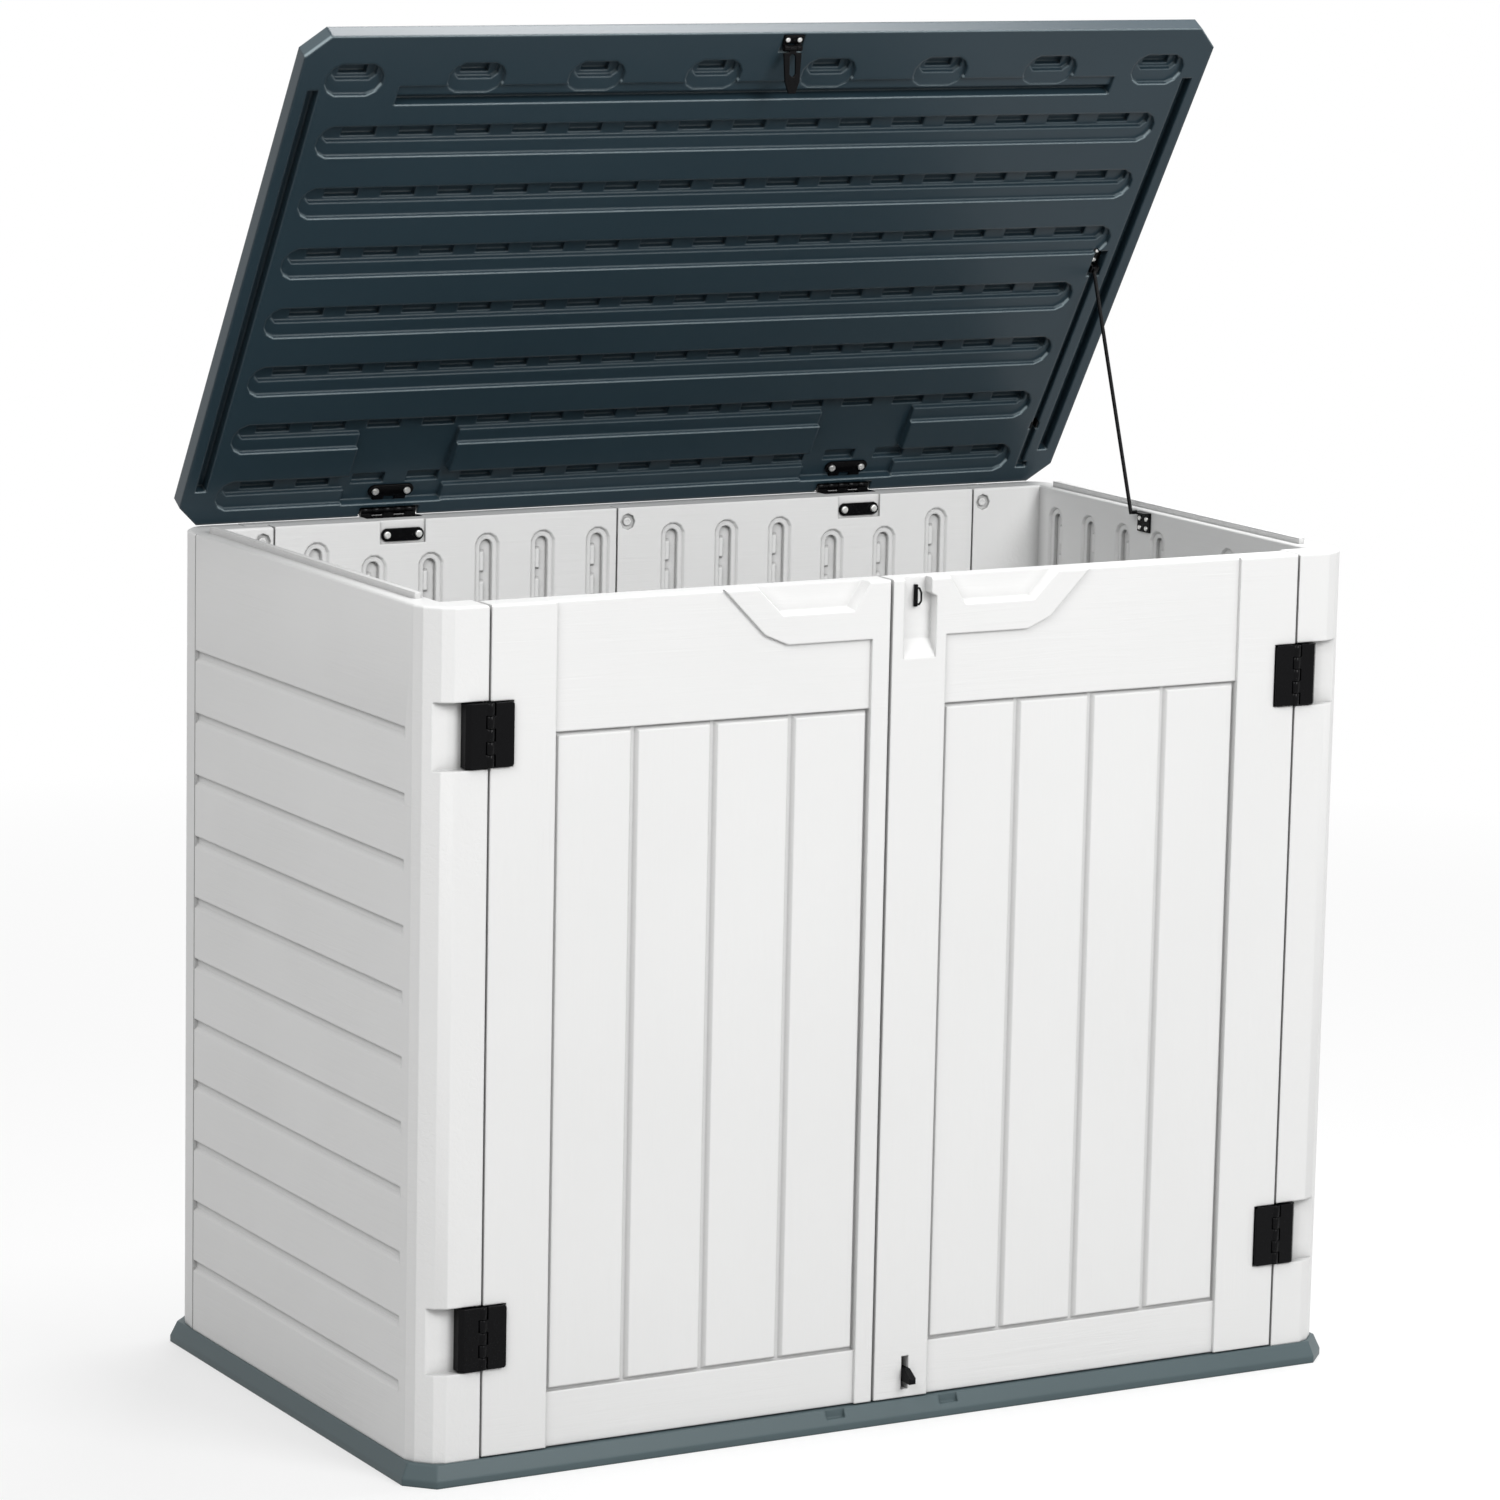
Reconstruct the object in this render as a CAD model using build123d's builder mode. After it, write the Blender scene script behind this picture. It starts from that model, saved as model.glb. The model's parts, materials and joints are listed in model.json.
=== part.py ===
from build123d import *
import math
import os

os.makedirs("parts", exist_ok=True)

# Overall sizes of the cabinet
width = 1250.0
depth = 698.0
wall_height = 987.0
base_height = 26.0
base_reach = 10.0
base_foot = 8.0
base_ledge = 2.0
base_corner = 3.0
rim_notch_x = 78.0
rim_notch_width = 25.0
rim_notch_low = 15.0
door_gap = 2.0
corner = 27.0
corner_round = 8.0
flank = 40.0
flank_draft = 4.0
flank_groove = (3.0, 2.5)
side_wall = 38.0
rear_wall = 42.0
post_width = 79.5
post_depth = 45.0
top_bevel = 2.0
fit = 0.4
past = 1.0

# Doors
door_thickness = 36.0
seam = 3.0
centre_gap = 4.0
centre_seam_x = -25.0
relief = 4.0
stile_centre = 50.0
stile_hinge = 84.0
groove_depth = 6.0
groove_floor = 4.0
groove_taper = 30.0
plank_count = 4
field_low = 65.0
field_top = 150.0
handle_low = 68.0
handle_wide = 247.0
handle_slope = 67.0
handle_blend = 18.0
grip_low = 34.0
grip_start = 75.0
grip_end = 170.0
grip_lean = (31.0, 49.0)
grip_rise = 14.0
grip_depth = 14.0
grip_taper = 18.0

# Door hinges
hinge_rise = (141.0, 840.0)
leaf_height = 74.0
leaf_width = 29.5
leaf_seat = 13.0
leaf_proud = 4.0
leaf_bevel = 5.0
leaf_room = 2.0
barrel_radius = 5.5
barrel_proud = 0.8
barrel_room = 0.7
barrel_web = 4.5
pin_radius = 2.2
pin_room = 0.15
screw_radius = 2.0
screw_room = 0.15
screw_bite = 8.0
head_radius = 4.5
head_height = 2.5
leaf_screw_x = 17.5
leaf_screw_z = 22.0
back_plate = (18.0, 62.0, 2.5)

# Hasp, staple and bolt
hasp_x = 14.0
hasp_line = 700.0
hasp_drop = 3.5
hasp_knuckle = 4.0
hasp_pin_radius = 1.5
hasp_half = 12.0
hasp_neck = 4.6
hasp_length = 54.0
hasp_thickness = 3.0
hasp_slot = (27.0, 8.5)
hasp_slot_drop = 20.5
hasp_seat = 2.0
hasp_plate_thickness = 2.5
hasp_plate_reach = 16.0
small_screw = 1.5
small_head = 3.0
small_head_height = 1.5
channel_side = 22.0
channel_step = 7.5
channel_step_rise = 4.0
channel_depth = 14.0
channel_low = 94.0
channel_slope = 21.0
staple_drop = 22.0
staple_half = 9.5
staple_wire = 1.25
staple_reach = 15.5
staple_turn = 4.5
staple_bar = (4.0, 26.0, 3.5)
staple_screw = 1.0
staple_screw_z = 9.0
bolt_x = 19.0
bolt_inset = 20.0
bolt_width = 12.0
bolt_depth = 10.0
bolt_length = 59.0
bolt_room = 0.5
bolt_down = 10.0
bolt_up = 14.0
tab_rise = 25.0
tab_half = 4.3
tab_foot = 5.0
tab_root = 11.0
tab_tip = 2.0
tab_reach = 20.0

# Slots in the walls and planks outside
slot_width = 34.0
slot_depth = 9.0
slot_taper = 37.0
slot_drop = 22.0
slot_foot = 42.0
slot_pitch = 77.6
rear_slots = 6
rear_slot_inset = (27.0, 80.0)
short_drop = 20.0
side_slots_y = (-134.0, 25.0, 106.0, 187.0, 266.0)
plank_pitch = 75.9
plank_lines = 11
plank_first = 80.0
plank_groove = 14.0
plank_depth = 4.0
plank_slope = 5.0
plank_ends = (53.0, 68.0)
rear_plank_end = 20.0
rib_height = 7.0
rib_width = 8.0
rib_inset = 25.0
rib_ends = (75.0, 60.0)

# Rear seams
lap = 30.0
seam_gap = 2.4
left_seam_x = -510.0
rear_seam_x = -38.0
right_seam_x = 485.0
seam_screw_drop = (18.0, 940.0)
seam_screw_radius = 3.0
seam_screw_bite = 12.0
seam_head_radius = 5.5
seam_pocket = (10.5, 4.0)

# Lid, laid out in its own frame on the hinge axis, y rearwards and z through its thickness
open_angle = 58.2
lid_width = 1244.0
lid_depth = 720.0
lid_thickness = 28.0
lid_lift = 2.0
lid_edge = 5.0
axis_back = 5.0
axis_rise = 7.0
lid_corner = 28.0
lid_round = 8.0
rib_count = 7
rib_pitch = 88.0
rib_first = 43.0
rib_channel = 44.0
rib_bed = 24.0
rib_shift = 9.0
rib_half = 577.0
rib_short = 25.0
rib_short_count = 4
rib_end_draft = 8.0
rib_ledge = 5.0
rib_floor = 11.0
tack_count = 15
tack_pitch = 74.4
tack_size = (44.0, 15.0)
tack_floor = 18.0
pad_pitch = 157.4
pad_count = 8
pad_size = (73.0, 44.0)
pad_line = 659.0
pad_tack = (36.0, 13.0)
step_half = 491.0
step_line = 636.0
step_reach = 13.0
step_floors = (4.0, 15.0)
lid_rib_room = 3.0
lid_rib_ends = (52.0, 645.0)
lid_rib_floor = 13.0
lid_hinge_half = 37.5
lid_barrel = 6.0
lid_barrel_room = 2.5
lid_recess_half = 68.0
lid_recess_start = 19.5
lid_plate = 3.0
lid_plate_size = (61.0, 17.0)
lid_plate_line = 32.5
lid_screw_x = 21.5
lid_screw_bite = 10.0
wall_leaf_half = 30.0
wall_leaf_height = 39.0
wall_plate_drop = 18.0
wall_plate_size = (57.0, 16.0)
wall_recess = (31.0, 11.0, 3.0)

# Prop rod
rod_x = 573.0
rod_radius = 2.5
rod_eye = 5.0
rod_pin_radius = 2.0
rod_pivot_line = 347.0
rod_sink = 3.0
rod_foot_y = 67.0
rod_foot_drop = 4.0
rod_hook = 9.0
rod_room = 2.0
ear_thickness = 2.5
ear_half = 5.0
bracket_depth = 9.0
bracket_plate = (16.0, 34.0, 2.0)
bracket_screws = (9.0, 24.0)
clip_line = 94.0
clip_half = (5.5, 5.0)
shelf_thickness = 2.5
shelf_reach = 10.0
shelf_length = 26.0
shelf_height = 25.0
shelf_screws_y = (19.0, 4.0)
shelf_screws_z = (7.0, 19.0)

# Derived places
half = width / 2
front = -depth / 2
back = depth / 2
door_z = base_height + door_gap
top_z = door_z + wall_height
hinge_x = half - post_width
hinge_y = front - barrel_proud
inner_x = half - side_wall
inner_y = back - rear_wall
lap_y = back - rear_wall / 2
hinge_z = [door_z + rise for rise in hinge_rise]
leaf_front = front - leaf_proud
leaf_back = front + leaf_seat
knuckle = leaf_height / 5
pin_hole = (pin_radius + pin_room) / math.cos(math.pi / 6)
channel_z = top_z - channel_low
staple_z = top_z - staple_drop
channel_y = front + channel_depth
bolt_y = front + bolt_inset
tab_z = door_z + tab_rise
axis_y = back + axis_back
axis_z = top_z + axis_rise
lid_under = lid_lift - axis_rise
rib_z = lid_under + rib_floor
slot_row = (rear_slots - 1) * slot_pitch
slot_x0 = (rear_seam_x - rear_slot_inset[0] - slot_row, rear_seam_x + rear_slot_inset[1])
lid_hinge_x = (slot_x0[0] + 1.5 * slot_pitch, slot_x0[1] + 3.5 * slot_pitch)
lid_band = 2 * lid_hinge_half / 5
wall_plate_z = top_z - wall_plate_drop
sin_open = math.sin(math.radians(open_angle))
cos_open = math.cos(math.radians(open_angle))
lid_frame = Plane(origin=(0, axis_y, axis_z), x_dir=(1, 0, 0), z_dir=(0, sin_open, cos_open))
lid_cross = Plane(origin=(0, axis_y, axis_z), x_dir=(0, cos_open, -sin_open), z_dir=(1, 0, 0))
lid_below = lid_frame.offset(lid_under)
rod_pivot = (lid_edge - rod_pivot_line, lid_under + rod_sink)
pivot_y = axis_y + rod_pivot[0] * cos_open + rod_pivot[1] * sin_open
pivot_z = axis_z - rod_pivot[0] * sin_open + rod_pivot[1] * cos_open
rod_foot_z = top_z - rod_foot_drop
rod_length = math.hypot(pivot_y - rod_foot_y, pivot_z - rod_foot_z)
rod_pin_hole = (rod_pin_radius + pin_room) / math.cos(math.pi / 6)
hasp_pivot = (lid_edge - hasp_line, lid_under - hasp_drop)
hasp_y = axis_y + hasp_pivot[0] * cos_open + hasp_pivot[1] * sin_open
hasp_z = axis_z - hasp_pivot[0] * sin_open + hasp_pivot[1] * cos_open
hasp_pin_hole = (hasp_pin_radius + pin_room) / math.cos(math.pi / 6)


def save(piece, label):
    piece.part.label = label
    export_step(piece.part, f"parts/{label}.step")


def facing(y):
    return Plane.XZ.offset(-y)


def block(x0, x1, y0, y1, z0, z1, mode=Mode.ADD):
    with Locations(((x0 + x1) / 2, (y0 + y1) / 2, (z0 + z1) / 2)):
        Box(abs(x1 - x0), abs(y1 - y0), abs(z1 - z0), mode=mode)


def rods(plane, spots, radius, length, mode=Mode.ADD, sides=8):
    with BuildSketch(plane, mode=Mode.PRIVATE) as section:
        with Locations(*spots):
            RegularPolygon(radius, sides)
    extrude(section.sketch, amount=length, mode=mode)


def slot_outline(x, low, high):
    with Locations((x, (low + high) / 2)):
        Rectangle(slot_width, high - low - slot_width)
    with Locations((x, low + slot_width / 2)):
        RegularPolygon(slot_width / 2, 8, major_radius=False, rotation=22.5)
    with Locations((x, high - slot_width / 2)):
        RegularPolygon(slot_width / 2, 12, major_radius=False, rotation=15)


def oval(x, y, length, height, sides=12):
    reach = (length - height) / 2
    with Locations((x, y)):
        Rectangle(2 * reach, height)
    with Locations((x - reach, y), (x + reach, y)):
        RegularPolygon(height / 2, sides, major_radius=False, rotation=180 / sides)


def plank_profile(face, inward):
    for line in range(plank_lines):
        z = door_z + plank_first + line * plank_pitch
        bed = face + inward * plank_depth
        Polygon(
            (face - inward * past, z + plank_groove / 2),
            (bed, z + plank_groove / 2),
            (bed, z - plank_groove / 2 + plank_slope),
            (face - inward * past, z - plank_groove / 2 - past),
            align=None,
        )


def leaf_spots(x):
    return [(x, z + dz) for z in hinge_z for dz in (-leaf_screw_z, leaf_screw_z)]


def seam_spots(x):
    return [(x, top_z - drop) for drop in seam_screw_drop]


# Floor tray with a ramped rim
with BuildPart() as base:
    with BuildSketch(Plane.XY) as plan:
        Rectangle(width + 2 * base_reach, depth + 2 * base_reach)
        chamfer(plan.vertices(), corner + base_corner)
    extrude(amount=base_foot)
    ramp = math.degrees(math.atan((base_reach - base_ledge) / (base_height - base_foot)))
    extrude(base.faces().sort_by(Axis.Z)[-1], amount=base_height - base_foot, taper=ramp)
    for side in (-1, 1):
        notch_x = side * rim_notch_x
        block(notch_x - rim_notch_width / 2, notch_x + rim_notch_width / 2, front - base_reach - past,
              front - past, rim_notch_low, base_height + past, Mode.SUBTRACT)
    keep = bolt_room + fit
    block(bolt_x - bolt_width / 2 - keep, bolt_x + bolt_width / 2 + keep, bolt_y - bolt_depth / 2 - keep,
          bolt_y + bolt_depth / 2 + keep, base_height - bolt_down - past, base_height + past, Mode.SUBTRACT)
save(base, "base_floor")

# Side panels with corner post, outer planks, inner slots and the return onto the rear wall
left_screw_x = left_seam_x - lap / 2
rear_screw_x = rear_seam_x + lap / 2
right_screw_x = right_seam_x + lap / 2
for name, side, seam_x in (("left", -1, -left_seam_x), ("right", 1, right_seam_x)):
    outline = [
        (half, front + corner),
        (half - corner, front),
        (hinge_x + seam / 2, front),
        (hinge_x + seam / 2, front + post_depth),
        (inner_x, front + post_depth),
        (inner_x, inner_y),
        (seam_x + seam_gap / 2, inner_y),
        (seam_x + seam_gap / 2, lap_y),
        (seam_x + lap + fit / 2, lap_y),
        (seam_x + lap + fit / 2, back),
        (half - corner, back),
        (half - flank_draft, back - corner),
        (half, back - corner - flank),
    ]
    with BuildPart() as panel:
        with BuildSketch(Plane.XY.offset(base_height)) as plan:
            with BuildLine():
                Polyline([(side * x, y) for x, y in outline], close=True)
            make_face()
            outer = plan.vertices().filter_by(lambda v: abs(v.X) > half - corner - past)
            chamfer(outer.filter_by(lambda v: abs(v.Y) > back - corner - past), corner_round)
        extrude(amount=top_z - base_height)
        chamfer(panel.faces().sort_by(Axis.Z)[-1].outer_wire().edges(), top_bevel)
        rib_x = side * (half - rib_inset)
        block(rib_x - rib_width / 2, rib_x + rib_width / 2, front + rib_ends[0], back - rib_ends[1],
              top_z - past, top_z + rib_height)
        with BuildSketch(facing(back - plank_ends[1])):
            plank_profile(side * half, -side)
        extrude(amount=depth - plank_ends[0] - plank_ends[1], mode=Mode.SUBTRACT)
        flank_y = back - corner - flank
        block(side * (half - flank_groove[1]), side * (half + past), flank_y, flank_y + flank_groove[0],
              base_height - past, top_z + past, Mode.SUBTRACT)
        with BuildSketch(Plane((side * inner_x, 0, 0), x_dir=(0, side, 0), z_dir=(side, 0, 0))):
            for y in side_slots_y:
                slot_outline(side * y, base_height + slot_foot, top_z - slot_drop - top_bevel)
        extrude(amount=slot_depth, taper=slot_taper, mode=Mode.SUBTRACT)
        for z in hinge_z:
            block(side * hinge_x, side * (half + past), front - past, leaf_back,
                  z - leaf_height / 2 - leaf_room, z + leaf_height / 2 + leaf_room, Mode.SUBTRACT)
        rods(facing(front + post_depth + past), leaf_spots(side * (hinge_x + leaf_screw_x)),
             screw_radius + fit, post_depth, Mode.SUBTRACT, 6)
        rods(facing(lap_y + past), seam_spots(side * (seam_x + lap / 2)), seam_screw_radius + fit,
             rear_wall, Mode.SUBTRACT, 6)
        rods(facing(inner_y + seam_pocket[1]), seam_spots(side * (seam_x + lap / 2)), seam_pocket[0],
             seam_pocket[1] + past, Mode.SUBTRACT)
        if side > 0:
            shelf_rows = [rod_foot_z - dz for dz in shelf_screws_z]
            shelf_spots = [(rod_foot_y - dy, z) for dy in shelf_screws_y for z in shelf_rows]
            rods(Plane.YZ.offset(inner_x - past), shelf_spots, screw_radius + screw_room,
                 lid_screw_bite + 2 * past, Mode.SUBTRACT, 6)
    save(panel, f"{name}_side_panel")

# Rear panels, lapped over the returns and over each other
rear_spans = (
    ("left", left_seam_x, left_seam_x - lap, rear_seam_x, rear_seam_x + lap),
    ("right", rear_seam_x, rear_seam_x + lap, right_seam_x, right_seam_x + lap),
)
for index, (name, inner0, outer0, inner1, outer1) in enumerate(rear_spans):
    hinge_centre = lid_hinge_x[index]
    with BuildPart() as panel:
        with BuildSketch(Plane.XY.offset(base_height)):
            with BuildLine():
                Polyline(
                    (inner0 + seam_gap / 2, inner_y),
                    (inner1 - seam_gap / 2, inner_y),
                    (inner1 - seam_gap / 2, lap_y + fit / 2),
                    (outer1 - fit / 2, lap_y + fit / 2),
                    (outer1 - fit / 2, back),
                    (outer0 + fit / 2, back),
                    (outer0 + fit / 2, lap_y + fit / 2),
                    (inner0 + seam_gap / 2, lap_y + fit / 2),
                    close=True,
                )
            make_face()
        extrude(amount=top_z - base_height)
        with BuildSketch(Plane.YZ.offset(outer0 + rear_plank_end)):
            plank_profile(back, -1)
        extrude(amount=outer1 - outer0 - 2 * rear_plank_end, mode=Mode.SUBTRACT)
        with BuildSketch(Plane((0, inner_y, 0), x_dir=(-1, 0, 0), z_dir=(0, 1, 0))):
            for slot in range(rear_slots):
                x = slot_x0[index] + slot * slot_pitch
                short = short_drop if abs(x - hinge_centre) < slot_pitch else 0
                slot_outline(-x, base_height + slot_foot, top_z - slot_drop - short)
        extrude(amount=slot_depth, taper=slot_taper, mode=Mode.SUBTRACT)
        block(hinge_centre - wall_recess[0], hinge_centre + wall_recess[0], inner_y - past,
              inner_y + wall_recess[2], wall_plate_z - wall_recess[1], top_z + past, Mode.SUBTRACT)
        plate_spots = [(hinge_centre + dx, wall_plate_z) for dx in (-lid_screw_x, lid_screw_x)]
        rods(facing(back + past), plate_spots, screw_radius + fit, rear_wall + past, Mode.SUBTRACT, 6)
        tapped = [left_screw_x, rear_screw_x] if index == 0 else [right_screw_x]
        for x in tapped:
            rods(facing(lap_y + seam_screw_bite), seam_spots(x), seam_screw_radius + screw_room,
                 seam_screw_bite + past, Mode.SUBTRACT, 6)
        if index == 1:
            rods(facing(lap_y + past), seam_spots(rear_screw_x), seam_screw_radius + fit, rear_wall,
                 Mode.SUBTRACT, 6)
            rods(facing(inner_y + seam_pocket[1]), seam_spots(rear_screw_x), seam_pocket[0],
                 seam_pocket[1] + past, Mode.SUBTRACT)
    save(panel, f"rear_{name}_panel")

with BuildPart() as seam_screws:
    pocket_y = inner_y + seam_pocket[1]
    for x in (left_screw_x, rear_screw_x, right_screw_x):
        rods(facing(lap_y + seam_screw_bite - fit), seam_spots(x), seam_screw_radius,
             lap_y + seam_screw_bite - fit - pocket_y, Mode.ADD, 6)
        rods(facing(pocket_y), seam_spots(x), seam_head_radius, head_height, Mode.ADD, 6)
save(seam_screws, "seam_screws")

# Doors with raised stiles, moulded planks and a finger grip
left_edges = (-hinge_x + seam / 2, centre_seam_x - centre_gap / 2)
right_edges = (centre_seam_x + centre_gap / 2, hinge_x - seam / 2)
field_out = hinge_x - stile_hinge
field_height = wall_height - field_low - field_top
plank_pitch_x = (field_out - stile_centre) / plank_count
blend_x = handle_blend * handle_slope / math.hypot(handle_slope, handle_low)
blend_z = handle_blend * handle_low / math.hypot(handle_slope, handle_low)
for name, side, edges in (("left", -1, left_edges), ("right", 1, right_edges)):
    x0, x1 = edges
    closing_x = x1 if side < 0 else x0
    hinge_edge = x0 if side < 0 else x1
    field_centre = (side * (field_out + stile_centre) / 2, door_z + field_low + field_height / 2)
    with BuildPart() as door:
        with BuildSketch(facing(front + door_thickness)):
            with Locations(((x0 + x1) / 2, (door_z + top_z) / 2)):
                Rectangle(x1 - x0, wall_height)
        extrude(amount=door_thickness - relief)
        with BuildSketch(facing(front + relief)):
            with BuildLine():
                Polyline(
                    (closing_x, door_z),
                    (side * stile_centre, door_z),
                    (side * stile_centre, top_z - handle_low),
                    (side * (handle_wide - handle_slope - handle_blend), top_z - handle_low),
                    (side * (handle_wide - handle_slope + blend_x), top_z - handle_low + blend_z),
                    (side * handle_wide, top_z),
                    (closing_x, top_z),
                    close=True,
                )
            make_face()
            with Locations(((hinge_edge + side * field_out) / 2, (door_z + top_z) / 2)):
                Rectangle(abs(hinge_edge - side * field_out), wall_height)
        extrude(amount=relief)
        top_edges = door.faces().sort_by(Axis.Z)[-1].outer_wire().edges()
        chamfer(top_edges.filter_by(Axis.X), relief / 2)
        with BuildSketch(facing(front + relief)):
            with Locations(field_centre):
                Rectangle(field_out - stile_centre, field_height)
        extrude(amount=-groove_depth, mode=Mode.SUBTRACT)
        with BuildSketch(facing(front + relief + groove_depth)):
            with Locations(field_centre):
                with GridLocations(plank_pitch_x, 1, plank_count, 1):
                    Rectangle(plank_pitch_x - groove_floor, field_height - groove_floor)
        extrude(amount=groove_depth, taper=groove_taper)
        with BuildSketch(facing(front)):
            with BuildLine():
                Polyline(
                    (side * grip_start, top_z - grip_low),
                    (side * grip_end, top_z - grip_low),
                    (side * (grip_end + grip_lean[1]), top_z + grip_rise),
                    (side * (grip_start - grip_lean[0]), top_z + grip_rise),
                    close=True,
                )
            make_face()
        extrude(amount=-grip_depth, taper=grip_taper, mode=Mode.SUBTRACT)
        for z in hinge_z:
            block(hinge_edge + side, side * (hinge_x - leaf_width - leaf_room / 2), front - past, leaf_back,
                  z - leaf_height / 2 - leaf_room / 2, z + leaf_height / 2 + leaf_room / 2, Mode.SUBTRACT)
        rods(facing(front + door_thickness + past), leaf_spots(side * (hinge_x - leaf_screw_x)),
             screw_radius + fit, door_thickness, Mode.SUBTRACT, 6)
        if side > 0:
            with BuildSketch(facing(front)):
                with BuildLine():
                    Polyline(
                        (hasp_x - channel_side, channel_z),
                        (hasp_x + channel_side, channel_z),
                        (hasp_x + channel_side, staple_z),
                        (hasp_x + channel_side - channel_step, staple_z + channel_step_rise),
                        (hasp_x + channel_side - channel_step, top_z + past),
                        (hasp_x - channel_side, top_z + past),
                        close=True,
                    )
                make_face()
            extrude(amount=-channel_depth, mode=Mode.SUBTRACT)
            with BuildSketch(Plane.YZ.offset(hasp_x - channel_side)):
                with BuildLine():
                    Polyline(
                        (front + past, channel_z),
                        (channel_y, channel_z),
                        (channel_y, channel_z + channel_slope),
                        close=True,
                    )
                make_face()
            extrude(amount=2 * channel_side)
            staple_spots = [(hasp_x, staple_z + dz) for dz in (-staple_screw_z, staple_screw_z)]
            rods(facing(front + door_thickness + past), staple_spots, staple_screw + fit, door_thickness,
                 Mode.SUBTRACT, 6)
            keep = bolt_width / 2 + bolt_room
            block(bolt_x - keep, bolt_x + keep, bolt_y - bolt_depth / 2 - bolt_room,
                  bolt_y + bolt_depth / 2 + bolt_room, door_z - past,
                  door_z + bolt_length + bolt_up + 2 * past, Mode.SUBTRACT)
            block(bolt_x - tab_half - bolt_room, bolt_x + tab_half + bolt_room, front - past, bolt_y,
                  tab_z - tab_foot - bolt_down - bolt_room, tab_z + tab_root + bolt_up + bolt_room,
                  Mode.SUBTRACT)
    save(door, f"{name}_door")

# Door hinges: three knuckles on each left leaf, two on each right leaf
for name, side in (("left", -1), ("right", 1)):
    axis_x = side * hinge_x
    for level, z in zip(("lower", "upper"), hinge_z):
        for holder, reach in (("post", side), ("door", -side)):
            bands = (-2, 0, 2) if reach < 0 else (-1, 1)
            clear = barrel_radius + barrel_room
            with BuildPart() as leaf:
                block(axis_x + reach * clear, axis_x + reach * leaf_width, leaf_front, leaf_back,
                      z - leaf_height / 2, z + leaf_height / 2)
                outer = leaf.faces().sort_by(lambda f: reach * f.center().X)[-1]
                if holder == "post":
                    chamfer(outer.edges().filter_by(Axis.Z).sort_by(Axis.Y)[0], leaf_bevel)
                else:
                    chamfer(outer.edges().filter_by(Axis.Y), leaf_bevel / 2)
                for band in bands:
                    low = z + (band - 0.5) * knuckle + fit / 2
                    rods(Plane.XY.offset(low), [(axis_x, hinge_y)], barrel_radius, knuckle - fit)
                    block(axis_x, axis_x + reach * (clear + past), leaf_front, hinge_y + barrel_web,
                          low, low + knuckle - fit)
                rods(Plane.XY.offset(z - leaf_height / 2 - past), [(axis_x, hinge_y)], pin_hole,
                     leaf_height + 2 * past, Mode.SUBTRACT, 6)
                spots = [(axis_x + reach * leaf_screw_x, z + dz) for dz in (-leaf_screw_z, leaf_screw_z)]
                rods(facing(leaf_back + past), spots, screw_radius + screw_room, screw_bite + past,
                     Mode.SUBTRACT, 6)
            save(leaf, f"{name}_{level}_hinge_{holder}_leaf")

for name, side in (("left", -1), ("right", 1)):
    with BuildPart() as pins:
        for z in hinge_z:
            rods(Plane.XY.offset(z - leaf_height / 2), [(side * hinge_x, hinge_y)], pin_radius, leaf_height,
                 Mode.ADD, 6)
    save(pins, f"{name}_hinge_pins")

# Backing plates and screws of the door hinges, put in from the inner faces
holders = (
    ("left_post", -1, 1, front + post_depth),
    ("right_post", 1, 1, front + post_depth),
    ("left_door", -1, -1, front + door_thickness),
    ("right_door", 1, -1, front + door_thickness),
)
for name, side, outward, face_y in holders:
    x = side * (hinge_x + outward * leaf_screw_x)
    plate_y = face_y + back_plate[2]
    with BuildPart() as plates:
        for z in hinge_z:
            block(x - back_plate[0] / 2, x + back_plate[0] / 2, face_y, plate_y, z - back_plate[1] / 2,
                  z + back_plate[1] / 2)
        rods(facing(plate_y + past), leaf_spots(x), screw_radius + fit, back_plate[2] + 2 * past,
             Mode.SUBTRACT, 6)
    save(plates, f"{name}_hinge_plates")
    with BuildPart() as screws:
        rods(facing(plate_y), leaf_spots(x), screw_radius, plate_y - leaf_back + screw_bite - fit,
             Mode.ADD, 6)
        rods(facing(plate_y + head_height), leaf_spots(x), head_radius, head_height, Mode.ADD, 6)
    save(screws, f"{name}_hinge_screws")

# Staple in the hasp channel, held by screws from the door's inner face
with BuildPart() as staple:
    block(hasp_x - staple_bar[0] / 2, hasp_x + staple_bar[0] / 2, channel_y - staple_bar[2], channel_y,
          staple_z - staple_bar[1] / 2, staple_z + staple_bar[1] / 2)
    nose_y = channel_y - staple_reach + staple_wire
    root_y = channel_y - staple_bar[2] / 2
    with BuildLine(Plane((hasp_x, 0, 0), x_dir=(0, 1, 0), z_dir=(1, 0, 0))) as loop:
        Polyline(
            (root_y, staple_z + staple_half),
            (nose_y + staple_turn, staple_z + staple_half),
            (nose_y, staple_z + staple_half - staple_turn),
            (nose_y, staple_z - staple_half + staple_turn),
            (nose_y + staple_turn, staple_z - staple_half),
            (root_y, staple_z - staple_half),
        )
    with BuildSketch(Plane(origin=loop.line @ 0, z_dir=loop.line % 0)):
        RegularPolygon(staple_wire, 8)
    sweep(transition=Transition.RIGHT)
    rods(facing(channel_y + past), staple_spots, staple_screw + screw_room, staple_bar[2],
         Mode.SUBTRACT, 6)
save(staple, "staple")

inside_y = front + door_thickness
with BuildPart() as staple_screws:
    rods(facing(inside_y), staple_spots, staple_screw, inside_y - channel_y + staple_bar[2] - past - fit,
         Mode.ADD, 6)
    rods(facing(inside_y + small_head_height), staple_spots, small_head, small_head_height, Mode.ADD, 6)
save(staple_screws, "staple_screws")

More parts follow.
